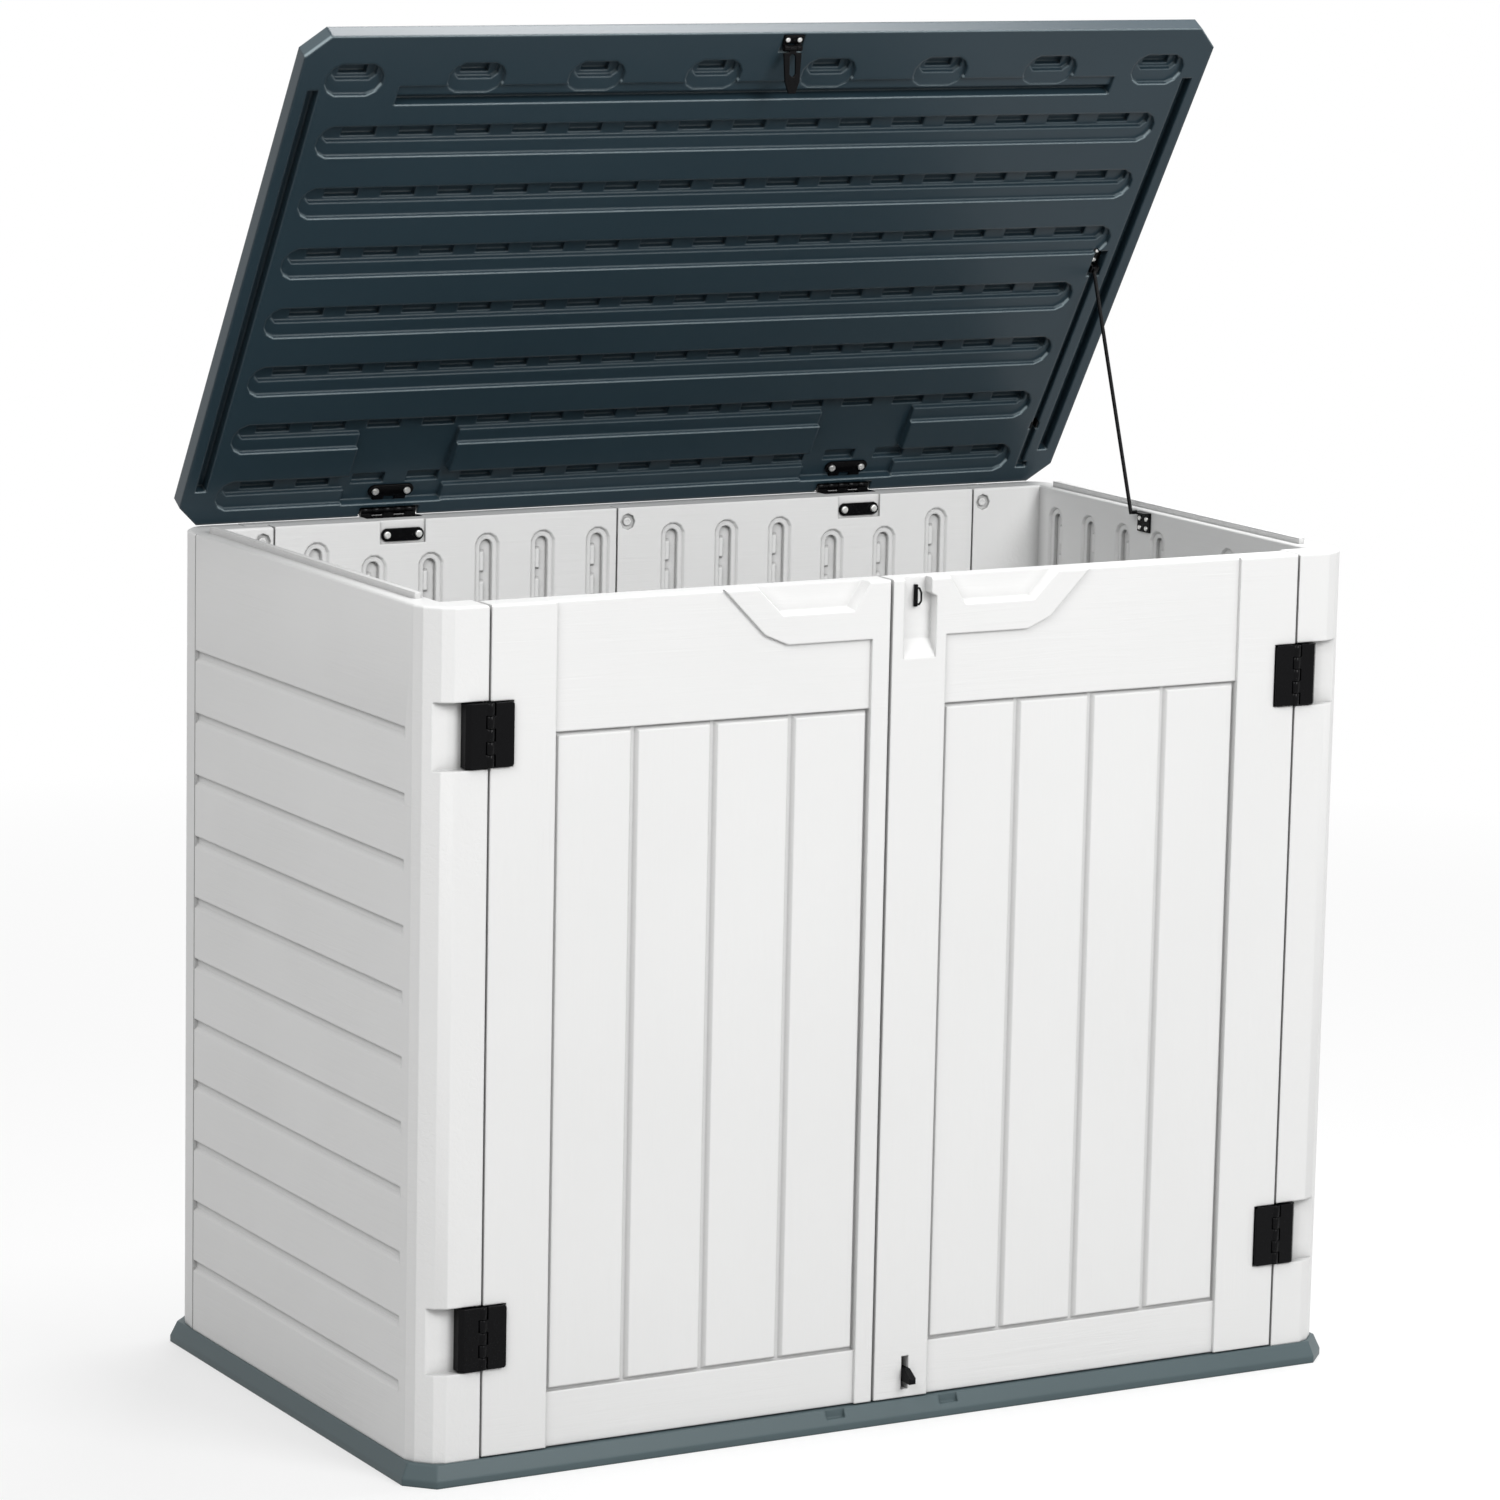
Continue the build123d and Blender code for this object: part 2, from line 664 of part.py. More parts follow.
# Sliding bolt with its thumb tab
with BuildPart() as bolt:
    block(bolt_x - bolt_width / 2, bolt_x + bolt_width / 2, bolt_y - bolt_depth / 2, bolt_y + bolt_depth / 2,
          door_z + past, door_z + bolt_length)
    with BuildSketch(Plane.YZ.offset(bolt_x - tab_half)):
        with BuildLine():
            Polyline(
                (bolt_y, tab_z - tab_foot),
                (bolt_y, tab_z + tab_root),
                (front - tab_reach / 4, tab_z + tab_root),
                (front - tab_reach, tab_z + tab_tip),
                (front - tab_reach, tab_z - tab_foot),
                close=True,
            )
        make_face()
    extrude(amount=2 * tab_half)
    chamfer(bolt.faces().sort_by(Axis.Y)[0].edges(), tab_tip / 2)
save(bolt, "door_bolt")

# Lid with channels, tack-off pockets, oval pads and the grooves of its underside
with BuildPart(lid_frame) as lid:
    with BuildSketch(lid_below) as plan:
        with Locations((0, lid_edge - lid_depth / 2)):
            Rectangle(lid_width, lid_depth)
        chamfer(plan.vertices(), lid_corner)
    extrude(amount=lid_thickness)
    upper = lid.faces().sort_by(lambda f: lid_frame.to_local_coords(f.center()).Z)[-1]
    chamfer(upper.outer_wire().edges(), lid_round)
    pad_y = lid_edge - pad_line
    pads = [((pad - (pad_count - 1) / 2) * pad_pitch, pad_y) for pad in range(pad_count)]
    ribs = []
    for rib in range(rib_count):
        right_end = rib_half - (rib_short if rib < rib_short_count else 0)
        rib_y = lid_edge - rib_first - rib * rib_pitch
        ribs.append(((right_end - rib_half) / 2, rib_y, right_end + rib_half))
    with BuildSketch(lid_below):
        for x, y, length in ribs:
            oval(x, y, length, rib_channel)
        for x, y in pads:
            oval(x, y, *pad_size)
    extrude(amount=rib_ledge, mode=Mode.SUBTRACT)
    with BuildSketch(lid_below):
        for x, y, length in ribs:
            oval(x, y - rib_shift, length - 2 * rib_end_draft, rib_bed, 8)
        for x, y in pads:
            oval(x, y - rib_shift, pad_size[0] - 2 * rib_end_draft, rib_bed, 8)
    extrude(amount=rib_floor, mode=Mode.SUBTRACT)
    with BuildSketch(lid_below):
        for x, y, length in ribs:
            with Locations((0, y - rib_shift)):
                with GridLocations(tack_pitch, 1, tack_count, 1):
                    Rectangle(*tack_size)
        with Locations(*[(x, y - rib_shift) for x, y in pads]):
            Rectangle(*pad_tack)
    extrude(amount=tack_floor, mode=Mode.SUBTRACT)
    step_y = lid_edge - step_line
    block(-step_half, step_half, step_y - step_reach, step_y + step_reach, lid_under - past,
          lid_under + step_floors[0], Mode.SUBTRACT)
    block(-step_half, step_half, step_y + lid_lift, step_y + step_reach, lid_under - past,
          lid_under + step_floors[1], Mode.SUBTRACT)
    rib_keep = rib_width / 2 + lid_rib_room
    for side in (-1, 1):
        x = side * (half - rib_inset)
        block(x - rib_keep, x + rib_keep, lid_edge - lid_rib_ends[1], lid_edge - lid_rib_ends[0],
              lid_under - past, lid_under + lid_rib_floor, Mode.SUBTRACT)
    notch_y = -lid_barrel - lid_barrel_room
    for x in lid_hinge_x:
        block(x - lid_recess_half, x + lid_recess_half, lid_edge - rib_first - rib_pitch,
              lid_edge - lid_recess_start, lid_under - past, rib_z, Mode.SUBTRACT)
        block(x - lid_hinge_half - lid_rib_room, x + lid_hinge_half + lid_rib_room, notch_y, lid_edge + past,
              lid_under - past, lid_barrel + lid_rib_room / 2, Mode.SUBTRACT)
        block(x - 1.5 * lid_band - fit, x + 1.5 * lid_band + fit, lid_edge - lid_recess_start - past,
              notch_y + past, rib_z - lid_plate - fit, rib_z, Mode.SUBTRACT)
        spots = [(x + dx, lid_edge - lid_plate_line) for dx in (-lid_screw_x, lid_screw_x)]
        rods(lid_frame.offset(rib_z - past), spots, screw_radius + screw_room, lid_screw_bite + 2 * past,
             Mode.SUBTRACT, 6)
    hasp_spots = [(hasp_x + dx, hasp_pivot[0] - hasp_plate_reach / 2 - lid_lift) for dx in (-8, 8)]
    seat_half = hasp_half + lid_rib_room
    block(hasp_x - seat_half, hasp_x + seat_half, hasp_pivot[0] - hasp_plate_reach - past,
          hasp_pivot[0] + 2 * hasp_knuckle, lid_under - past, lid_under + hasp_seat, Mode.SUBTRACT)
    rods(lid_below, hasp_spots, small_screw + screw_room, lid_screw_bite + 2 * past + hasp_seat,
         Mode.SUBTRACT, 6)
    foot_line = rod_pivot[0] + rod_length
    rod_keep = rod_radius + rod_room
    block(rod_x - rod_keep, rod_x + rod_keep, rod_pivot[0] - rod_keep, foot_line + rod_keep,
          lid_under - past, rod_pivot[1] + rod_keep, Mode.SUBTRACT)
    block(rod_x, rod_x + rod_hook + rod_room, foot_line - rod_keep, foot_line + rod_keep,
          lid_under - past, rod_pivot[1] + rod_keep, Mode.SUBTRACT)
    block(rod_x - bracket_plate[0] / 2 - past, rod_x + bracket_plate[0] / 2 + past,
          rod_pivot[0] + ear_half - bracket_plate[1] - past, rod_pivot[0] + rod_keep + ear_half,
          lid_under - past, rod_pivot[1] + bracket_depth, Mode.SUBTRACT)
    prop_spots = [(rod_x, rod_pivot[0] - dy) for dy in bracket_screws]
    rods(lid_frame.offset(rod_pivot[1] + bracket_depth - past), prop_spots, small_screw + screw_room,
         lid_screw_bite + 2 * past, Mode.SUBTRACT, 6)
    clip_y = lid_edge - clip_line
    clip_z = rod_pivot[1] + rod_keep
    block(rod_x - clip_half[0] - past, rod_x + clip_half[0] + past, clip_y - clip_half[1] - past,
          clip_y + clip_half[1] + past, lid_under - past, clip_z + rod_room, Mode.SUBTRACT)
save(lid, "lid")

# Lid hinges: wall leaf, lid leaf, pins, wall plates and screws
for index, name in enumerate(("left", "right")):
    x = lid_hinge_x[index]
    with BuildPart() as leaf:
        block(x - wall_leaf_half, x + wall_leaf_half, back, back + lid_plate,
              top_z - past - wall_leaf_height, top_z - past)
        for band in (-2, 0, 2):
            low = x + (band - 0.5) * lid_band + fit / 2
            block(low, low + lid_band - fit, back, back + lid_plate, top_z - 2 * past, axis_z)
            rods(Plane.YZ.offset(low), [(axis_y, axis_z)], lid_barrel, lid_band - fit)
        rods(Plane.YZ.offset(x - lid_hinge_half - past), [(axis_y, axis_z)], pin_hole,
             2 * lid_hinge_half + 2 * past, Mode.SUBTRACT, 6)
        spots = [(x + dx, wall_plate_z) for dx in (-lid_screw_x, lid_screw_x)]
        rods(facing(back + lid_plate + past), spots, screw_radius + screw_room, lid_plate + 2 * past,
             Mode.SUBTRACT, 6)
    save(leaf, f"{name}_lid_hinge_wall_leaf")
    with BuildPart(lid_frame) as leaf:
        with BuildSketch(lid_frame.offset(rib_z - lid_plate)):
            oval(x, lid_edge - lid_plate_line, *lid_plate_size)
        extrude(amount=lid_plate)
        for band in (-1, 1):
            low = x + (band - 0.5) * lid_band + fit / 2
            block(low, low + lid_band - fit, lid_edge - lid_plate_line, 0, rib_z - lid_plate, rib_z - fit)
            rods(lid_cross.offset(low), [(0, 0)], lid_barrel, lid_band - fit)
        rods(lid_cross.offset(x - lid_hinge_half - past), [(0, 0)], pin_hole,
             2 * lid_hinge_half + 2 * past, Mode.SUBTRACT, 6)
        spots = [(x + dx, lid_edge - lid_plate_line) for dx in (-lid_screw_x, lid_screw_x)]
        rods(lid_frame.offset(rib_z - lid_plate - past), spots, screw_radius + fit, lid_plate + 2 * past,
             Mode.SUBTRACT, 6)
    save(leaf, f"{name}_lid_hinge_lid_leaf")

with BuildPart() as lid_pins:
    for x in lid_hinge_x:
        rods(Plane.YZ.offset(x - lid_hinge_half), [(axis_y, axis_z)], pin_radius, 2 * lid_hinge_half,
             Mode.ADD, 6)
save(lid_pins, "lid_hinge_pins")

plate_front = inner_y + wall_recess[2] - back_plate[2]
wall_spots = [(x + dx, wall_plate_z) for x in lid_hinge_x for dx in (-lid_screw_x, lid_screw_x)]
with BuildPart() as wall_plates:
    with BuildSketch(facing(inner_y + wall_recess[2])):
        for x in lid_hinge_x:
            oval(x, wall_plate_z, *wall_plate_size)
    extrude(amount=back_plate[2])
    rods(facing(inner_y + wall_recess[2] + past), wall_spots, screw_radius + fit, back_plate[2] + 2 * past,
         Mode.SUBTRACT, 6)
save(wall_plates, "lid_hinge_wall_plates")

with BuildPart() as wall_screws:
    rods(facing(back + lid_plate), wall_spots, screw_radius, back + lid_plate - plate_front, Mode.ADD, 6)
    rods(facing(plate_front), wall_spots, head_radius, head_height)
save(wall_screws, "lid_hinge_wall_screws")

lid_screw_xs = [x + dx for x in lid_hinge_x for dx in (-lid_screw_x, lid_screw_x)]
lid_spots = [(x, lid_edge - lid_plate_line) for x in lid_screw_xs]
with BuildPart(lid_frame) as lid_screws:
    rods(lid_frame.offset(rib_z - lid_plate), lid_spots, screw_radius, lid_plate + lid_screw_bite,
         Mode.ADD, 6)
    rods(lid_frame.offset(rib_z - lid_plate - head_height), lid_spots, head_radius, head_height)
save(lid_screws, "lid_hinge_lid_screws")

# Hasp: plate and pin on the lid, strap hanging plumb from the pin
with BuildPart(lid_frame) as hasp_plate:
    plate_z = lid_under + hasp_seat
    block(hasp_x - hasp_half - past, hasp_x + hasp_half + past, hasp_pivot[0] - hasp_plate_reach,
          hasp_pivot[0] - hasp_neck, plate_z - hasp_plate_thickness, plate_z)
    for side in (-1, 1):
        low = hasp_x + (hasp_neck + fit if side > 0 else -hasp_half)
        band = hasp_half - hasp_neck - fit
        block(low, low + band, hasp_pivot[0] - hasp_neck - past, hasp_pivot[0],
              plate_z - hasp_plate_thickness, plate_z)
        rods(lid_cross.offset(low), [hasp_pivot], hasp_knuckle, band)
    rods(lid_cross.offset(hasp_x - 2 * hasp_half), [hasp_pivot], hasp_pin_hole, 4 * hasp_half,
         Mode.SUBTRACT, 6)
    rods(lid_frame.offset(plate_z - hasp_plate_thickness - past), hasp_spots, small_screw + fit,
         hasp_plate_thickness + 2 * past, Mode.SUBTRACT, 6)
save(hasp_plate, "hasp_plate")

with BuildPart(lid_frame) as hasp_pin:
    rods(lid_cross.offset(hasp_x - hasp_half), [hasp_pivot], hasp_pin_radius, 2 * hasp_half, Mode.ADD, 6)
save(hasp_pin, "hasp_pin")

with BuildPart(lid_frame) as hasp_screws:
    head_z = plate_z - hasp_plate_thickness
    rods(lid_frame.offset(head_z), hasp_spots, small_screw, hasp_plate_thickness + lid_screw_bite,
         Mode.ADD, 6)
    rods(lid_frame.offset(head_z - small_head_height), hasp_spots, small_head, small_head_height)
save(hasp_screws, "hasp_screws")

with BuildPart() as hasp_strap:
    with BuildSketch(facing(hasp_y + hasp_thickness / 2)):
        with BuildLine():
            Polyline(
                (hasp_x - hasp_neck, hasp_z),
                (hasp_x + hasp_neck, hasp_z),
                (hasp_x + hasp_neck, hasp_z - hasp_knuckle - past),
                (hasp_x + hasp_half, hasp_z - hasp_knuckle - 2 * past),
                (hasp_x + 0.8 * hasp_half, hasp_z - 0.75 * hasp_length),
                (hasp_x + hasp_neck, hasp_z - hasp_length),
                (hasp_x - hasp_neck, hasp_z - hasp_length),
                (hasp_x - 0.8 * hasp_half, hasp_z - 0.75 * hasp_length),
                (hasp_x - hasp_half, hasp_z - hasp_knuckle - 2 * past),
                (hasp_x - hasp_neck, hasp_z - hasp_knuckle - past),
                close=True,
            )
        make_face()
        with BuildSketch(mode=Mode.SUBTRACT) as slot:
            with Locations((hasp_x, hasp_z - hasp_slot_drop)):
                Rectangle(hasp_slot[1], hasp_slot[0])
            chamfer(slot.vertices(), hasp_slot[1] / 3)
    extrude(amount=hasp_thickness)
    rods(Plane.YZ.offset(hasp_x - hasp_neck), [(hasp_y, hasp_z)], hasp_knuckle, 2 * hasp_neck)
    rods(Plane.YZ.offset(hasp_x - hasp_half), [(hasp_y, hasp_z)], hasp_pin_hole, 2 * hasp_half,
         Mode.SUBTRACT, 6)
save(hasp_strap, "hasp_strap")

# Prop rod hooked behind its shelf on the right wall, with its bracket, pin and clip on the lid
with BuildPart() as prop:
    with BuildLine() as path:
        Polyline(
            (rod_x, pivot_y, pivot_z),
            (rod_x, rod_foot_y, rod_foot_z),
            (rod_x + rod_hook, rod_foot_y, rod_foot_z),
        )
    with BuildSketch(Plane(origin=path.line @ 0, x_dir=(1, 0, 0), z_dir=path.line % 0)):
        RegularPolygon(rod_radius, 8)
    sweep(transition=Transition.RIGHT)
    rods(Plane.YZ.offset(rod_x - rod_radius), [(pivot_y, pivot_z)], rod_eye, 2 * rod_radius, sides=12)
    rods(Plane.YZ.offset(rod_x - rod_eye), [(pivot_y, pivot_z)], rod_pin_hole, 2 * rod_eye,
         Mode.SUBTRACT, 6)
save(prop, "prop_rod")

ear_in = rod_radius + fit
floor_in = rod_pivot[1] + bracket_depth
with BuildPart(lid_frame) as prop_bracket:
    block(rod_x - bracket_plate[0] / 2, rod_x + bracket_plate[0] / 2,
          rod_pivot[0] + ear_half - bracket_plate[1], rod_pivot[0] + ear_half, floor_in - bracket_plate[2],
          floor_in)
    for side in (-1, 1):
        block(rod_x + side * ear_in, rod_x + side * (ear_in + ear_thickness), rod_pivot[0] - ear_half,
              rod_pivot[0] + ear_half, rod_pivot[1] - rod_radius - past, floor_in - past)
    rods(lid_cross.offset(rod_x - 2 * rod_eye), [rod_pivot], rod_pin_hole, 4 * rod_eye, Mode.SUBTRACT, 6)
    rods(lid_frame.offset(floor_in - bracket_plate[2] - past), prop_spots, small_screw + fit,
         bracket_plate[2] + 2 * past, Mode.SUBTRACT, 6)
save(prop_bracket, "prop_lid_bracket")

with BuildPart(lid_frame) as prop_pin:
    rods(lid_cross.offset(rod_x - ear_in - ear_thickness), [rod_pivot], rod_pin_radius,
         2 * (ear_in + ear_thickness), Mode.ADD, 6)
save(prop_pin, "prop_pin")

with BuildPart(lid_frame) as prop_screws:
    head_z = floor_in - bracket_plate[2]
    rods(lid_frame.offset(head_z), prop_spots, small_screw, bracket_plate[2] + lid_screw_bite, Mode.ADD, 6)
    rods(lid_frame.offset(head_z - small_head_height), prop_spots, small_head, small_head_height)
save(prop_screws, "prop_bracket_screws")

with BuildPart(lid_frame) as prop_clip:
    block(rod_x - clip_half[0], rod_x + clip_half[0], clip_y - clip_half[1], clip_y + clip_half[1], clip_z,
          clip_z + rod_room)
    for side in (-1, 1):
        block(rod_x + side * ear_in, rod_x + side * clip_half[0], clip_y - clip_half[1],
              clip_y + clip_half[1], rod_pivot[1] - rod_radius, clip_z + rod_room)
save(prop_clip, "prop_clip")

with BuildPart() as prop_shelf:
    shelf_top = rod_foot_z + past
    shelf_front = rod_foot_y - shelf_length
    hook_front = rod_foot_y - rod_radius - 2 * fit
    block(inner_x - shelf_thickness, inner_x, shelf_front, rod_foot_y + rod_room, shelf_top - shelf_height,
          shelf_top)
    block(inner_x - shelf_reach, inner_x, shelf_front, hook_front, shelf_top - shelf_thickness, shelf_top)
    rods(Plane.YZ.offset(inner_x - shelf_thickness - past), shelf_spots, screw_radius + fit,
         shelf_thickness + 2 * past, Mode.SUBTRACT, 6)
save(prop_shelf, "prop_wall_bracket")

with BuildPart() as shelf_screws:
    head_x = inner_x - shelf_thickness
    rods(Plane.YZ.offset(head_x), shelf_spots, screw_radius, shelf_thickness + lid_screw_bite, Mode.ADD, 6)
    rods(Plane.YZ.offset(head_x - small_head_height), shelf_spots, small_head, small_head_height)
save(shelf_screws, "prop_wall_screws")
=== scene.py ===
import bpy
import bmesh
import json
import math
from mathutils import Matrix, Vector


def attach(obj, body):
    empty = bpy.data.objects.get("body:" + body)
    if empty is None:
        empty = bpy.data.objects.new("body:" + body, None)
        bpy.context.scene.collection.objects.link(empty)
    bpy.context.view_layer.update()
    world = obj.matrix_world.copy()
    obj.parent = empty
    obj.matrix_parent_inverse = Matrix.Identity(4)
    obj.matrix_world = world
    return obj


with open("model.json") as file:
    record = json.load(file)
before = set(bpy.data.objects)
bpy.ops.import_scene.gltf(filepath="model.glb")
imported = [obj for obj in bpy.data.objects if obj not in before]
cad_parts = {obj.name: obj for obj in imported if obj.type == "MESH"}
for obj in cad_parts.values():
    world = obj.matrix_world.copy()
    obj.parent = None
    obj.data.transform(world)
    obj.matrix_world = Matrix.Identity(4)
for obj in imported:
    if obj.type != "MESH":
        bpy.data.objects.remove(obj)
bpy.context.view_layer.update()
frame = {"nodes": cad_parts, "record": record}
scene = bpy.context.scene
slot_of = {part["node"]: part["material_slot"] for part in frame["record"]["subparts"]}

RIGHT = Vector((1, 0, 0))
LEFT = Vector((-1, 0, 0))
FRONT = Vector((0, -1, 0))
REAR = Vector((0, 1, 0))
UP = Vector((0, 0, 1))
SIDES = ((-1, "left"), (1, "right"))

# Camera of the photograph: place in metres, lens and sensor in millimetres
CAMERA_PLACE = Vector((-3.4217, -6.0371, 1.9962))
CAMERA_RIGHT = Vector((0.87242, -0.48833, 0.02060))
CAMERA_DOWN = Vector((-0.06834, -0.16360, -0.98416))
CAMERA_FORWARD = Vector((0.48396, 0.85719, -0.17610))
CAMERA_LENS = 138.6
CAMERA_SENSOR = 36.0
CAMERA_REACH = 200

# Colours, linear
WHITE = (0.80, 0.80, 0.795)
SLATE = (0.021, 0.040, 0.053)
# Lighter slate painted on the lid's lips as a highlight
SLATE_LIP_HIGHLIGHT = (0.35, 0.43, 0.46)
# Slate of the base, lighter than the lid's: partly painted light for the base's lit front
SLATE_FLOOR_PARTLY_LIT = (0.080, 0.112, 0.121)
BLACK = (0.0025, 0.0025, 0.003)
ZINC = (0.90, 0.90, 0.88)
PURE_WHITE = (1, 1, 1, 1)

# Radius of the soft edges that each material shades
WHITE_EDGE = 0.0028
SLATE_EDGE = 0.0042
BLACK_EDGE = 0.0014

# Painted crevice shade: its reach, and the share of the colour that is left in a crevice
PANEL_PAINTED_SHADE = (0.020, 0.48)
DOOR_PAINTED_SHADE = (0.014, 0.70)

# Specular level of the slate and of the black coating
SLATE_SPECULAR = 0.25
BLACK_SPECULAR = 0.09

# Painted highlights on the lid's rounded lips: leans that they rise and fade over, depths under the face,
# share left below
LIP_RISE = (0.2, 0.55)
LIP_FADE = (0.65, 0.93)
LIP_DEPTHS = (0.005, 0.003)
LIP_BELOW = 0.25

# Grain stretch for each direction of the grain, and the heights between which the door planks stand
GRAIN_ALONG_X = (6, 130, 130)
GRAIN_ALONG_Y = (130, 6, 130)
GRAIN_ALONG_Z = (130, 130, 6)
DOOR_FIELD = (0.093, 0.865)

# Places taken over from the solids, in metres
TOP = 1.015
INNER_X = 0.587
INNER_Y = 0.307
DOOR_HINGE_X = 0.5455
DOOR_HINGE_Y = -0.3498
DOOR_HINGE_Z = (0.169, 0.868)
LID_HINGE_X = (-0.3366, 0.3136)
LID_ANGLE = math.radians(58.2)
LID_AXIS = (0.354, 1.022)
LID_REAR = 0.005
LID_UNDER = -0.005
HASP_X = 0.014
ROD_X = 0.573

# Directions of the open lid, and the level of its underside along LID_DOWN
LID_UP = (0, -math.cos(LID_ANGLE), math.sin(LID_ANGLE))
LID_DOWN = Vector((0, -math.sin(LID_ANGLE), -math.cos(LID_ANGLE)))
LID_LEVEL = LID_DOWN.dot(Vector((0, *LID_AXIS))) - LID_UNDER


# Shader helpers
def link(tree, source, target):
    tree.links.new(source, target)


def node(tree, kind, **values):
    made = tree.nodes.new(kind)
    for key, value in values.items():
        setattr(made, key, value)
    return made


def new_material(name):
    material = bpy.data.materials.new(name)
    material.use_nodes = True
    tree = material.node_tree
    tree.nodes.clear()
    out = node(tree, "ShaderNodeOutputMaterial")
    shader = node(tree, "ShaderNodeBsdfPrincipled")
    link(tree, shader.outputs["BSDF"], out.inputs["Surface"])
    return material, tree, shader


def object_place(tree):
    return node(tree, "ShaderNodeTexCoord").outputs["Object"]


def noise(tree, stretch, detail, roughness, distortion=0.0):
    mapping = node(tree, "ShaderNodeMapping")
    mapping.inputs["Scale"].default_value = stretch
    link(tree, object_place(tree), mapping.inputs["Vector"])
    made = node(tree, "ShaderNodeTexNoise")
    made.inputs["Scale"].default_value = 1.0
    made.inputs["Detail"].default_value = detail
    made.inputs["Roughness"].default_value = roughness
    made.inputs["Distortion"].default_value = distortion
    link(tree, mapping.outputs["Vector"], made.inputs["Vector"])
    return made.outputs["Fac"]


def ramp(tree, value, span, to=(0, 1)):
    """Value mapped from a span to another, and held at its ends."""
    made = node(tree, "ShaderNodeMapRange")
    made.inputs["From Min"].default_value, made.inputs["From Max"].default_value = span
    made.inputs["To Min"].default_value, made.inputs["To Max"].default_value = to
    link(tree, value, made.inputs["Value"])
    return made.outputs["Result"]


def mix(tree, data_type, factor, first, second):
    """Mix of two sockets or plain colours."""
    made = node(tree, "ShaderNodeMix", data_type=data_type)
    link(tree, factor, made.inputs["Factor"])
    for key, value in (("A", first), ("B", second)):
        if isinstance(value, tuple):
            made.inputs[key].default_value = (*value, 1)
        else:
            link(tree, value, made.inputs[key])
    return made.outputs["Result"]


def compute(tree, operation, *values):
    """Result of a math node on sockets or plain numbers."""
    made = node(tree, "ShaderNodeMath", operation=operation)
    for place, value in zip(made.inputs, values):
        if isinstance(value, float):
            place.default_value = value
        else:
            link(tree, value, place)
    return made.outputs["Value"]


def along(tree, vector, direction):
    """How far a vector goes in a direction."""
    made = node(tree, "ShaderNodeVectorMath", operation="DOT_PRODUCT")
    link(tree, vector, made.inputs[0])
    made.inputs[1].default_value = direction
    return made.outputs["Value"]


def bump(tree, height, strength, depth, below=None):
    made = node(tree, "ShaderNodeBump")
    made.inputs["Strength"].default_value = strength
    made.inputs["Distance"].default_value = depth
    link(tree, height, made.inputs["Height"])
    if below is not None:
        link(tree, below, made.inputs["Normal"])
    return made.outputs["Normal"]


def rounded(tree, radius):
    made = node(tree, "ShaderNodeBevel", samples=6)
    made.inputs["Radius"].default_value = radius
    return made.outputs["Normal"]


def shade(colour, factor):
    return tuple(min(1.0, part * factor) for part in colour)


# White plastic
def grain_height(tree, stretch):
    """Embossed wood grain: stretched streaks, broken up along their length."""
    streaks = noise(tree, stretch, detail=6.0, roughness=0.62, distortion=0.9)
    patches = noise(tree, (7, 7, 7), detail=2.0, roughness=0.5)
    return compute(tree, "MULTIPLY", streaks, ramp(tree, patches, (0.35, 0.65), (0.35, 1.0)))


def white_surface(tree, shader, height, crevice_shade):
    """White plastic with a grain height, with shade painted into crevices narrower than their reach."""
    reach, share = crevice_shade
    cloud = noise(tree, (3, 3, 3), detail=3.0, roughness=0.5)
    fine = noise(tree, (700, 700, 700), detail=3.0, roughness=0.5)
    clean = mix(tree, "RGBA", ramp(tree, cloud, (0.3, 0.7)), shade(WHITE, 0.985), shade(WHITE, 1.01))
    # Painted shade: ambient occlusion darkens the colour in crevices and recesses
    occlusion_shade = node(tree, "ShaderNodeAmbientOcclusion", samples=4)
    occlusion_shade.inputs["Distance"].default_value = reach
    unshaded_share = ramp(tree, occlusion_shade.outputs["AO"], (0.35, 0.93))
    link(tree, mix(tree, "RGBA", unshaded_share, shade(WHITE, share), clean), shader.inputs["Base Color"])
    link(tree, ramp(tree, height, (0.2, 0.6), (0.42, 0.52)), shader.inputs["Roughness"])
    micro = bump(tree, fine, strength=0.04, depth=0.0003, below=rounded(tree, WHITE_EDGE))
    link(tree, bump(tree, height, strength=0.34, depth=0.0014, below=micro), shader.inputs["Normal"])


def moulded_white(name, grain):
    """White polyethylene with embossed wood grain that runs along the axis with the small stretch."""
    material, tree, shader = new_material(name)
    white_surface(tree, shader, grain_height(tree, grain), PANEL_PAINTED_SHADE)
    return material


def rail_mask(tree):
    """1 on the rails above and below the planks of a door, and 0 between them."""
    middle = sum(DOOR_FIELD) / 2
    split = node(tree, "ShaderNodeSeparateXYZ")
    link(tree, object_place(tree), split.inputs["Vector"])
    away = compute(tree, "ABSOLUTE", compute(tree, "SUBTRACT", split.outputs["Z"], middle))
    return compute(tree, "GREATER_THAN", away, DOOR_FIELD[1] - middle)


def moulded_door(name):
    """White polyethylene with level grain on the rails and upright grain on the planks between them."""
    material, tree, shader = new_material(name)
    height = mix(tree, "FLOAT", rail_mask(tree), grain_height(tree, GRAIN_ALONG_Z),
                 grain_height(tree, GRAIN_ALONG_X))
    white_surface(tree, shader, height, DOOR_PAINTED_SHADE)
    return material


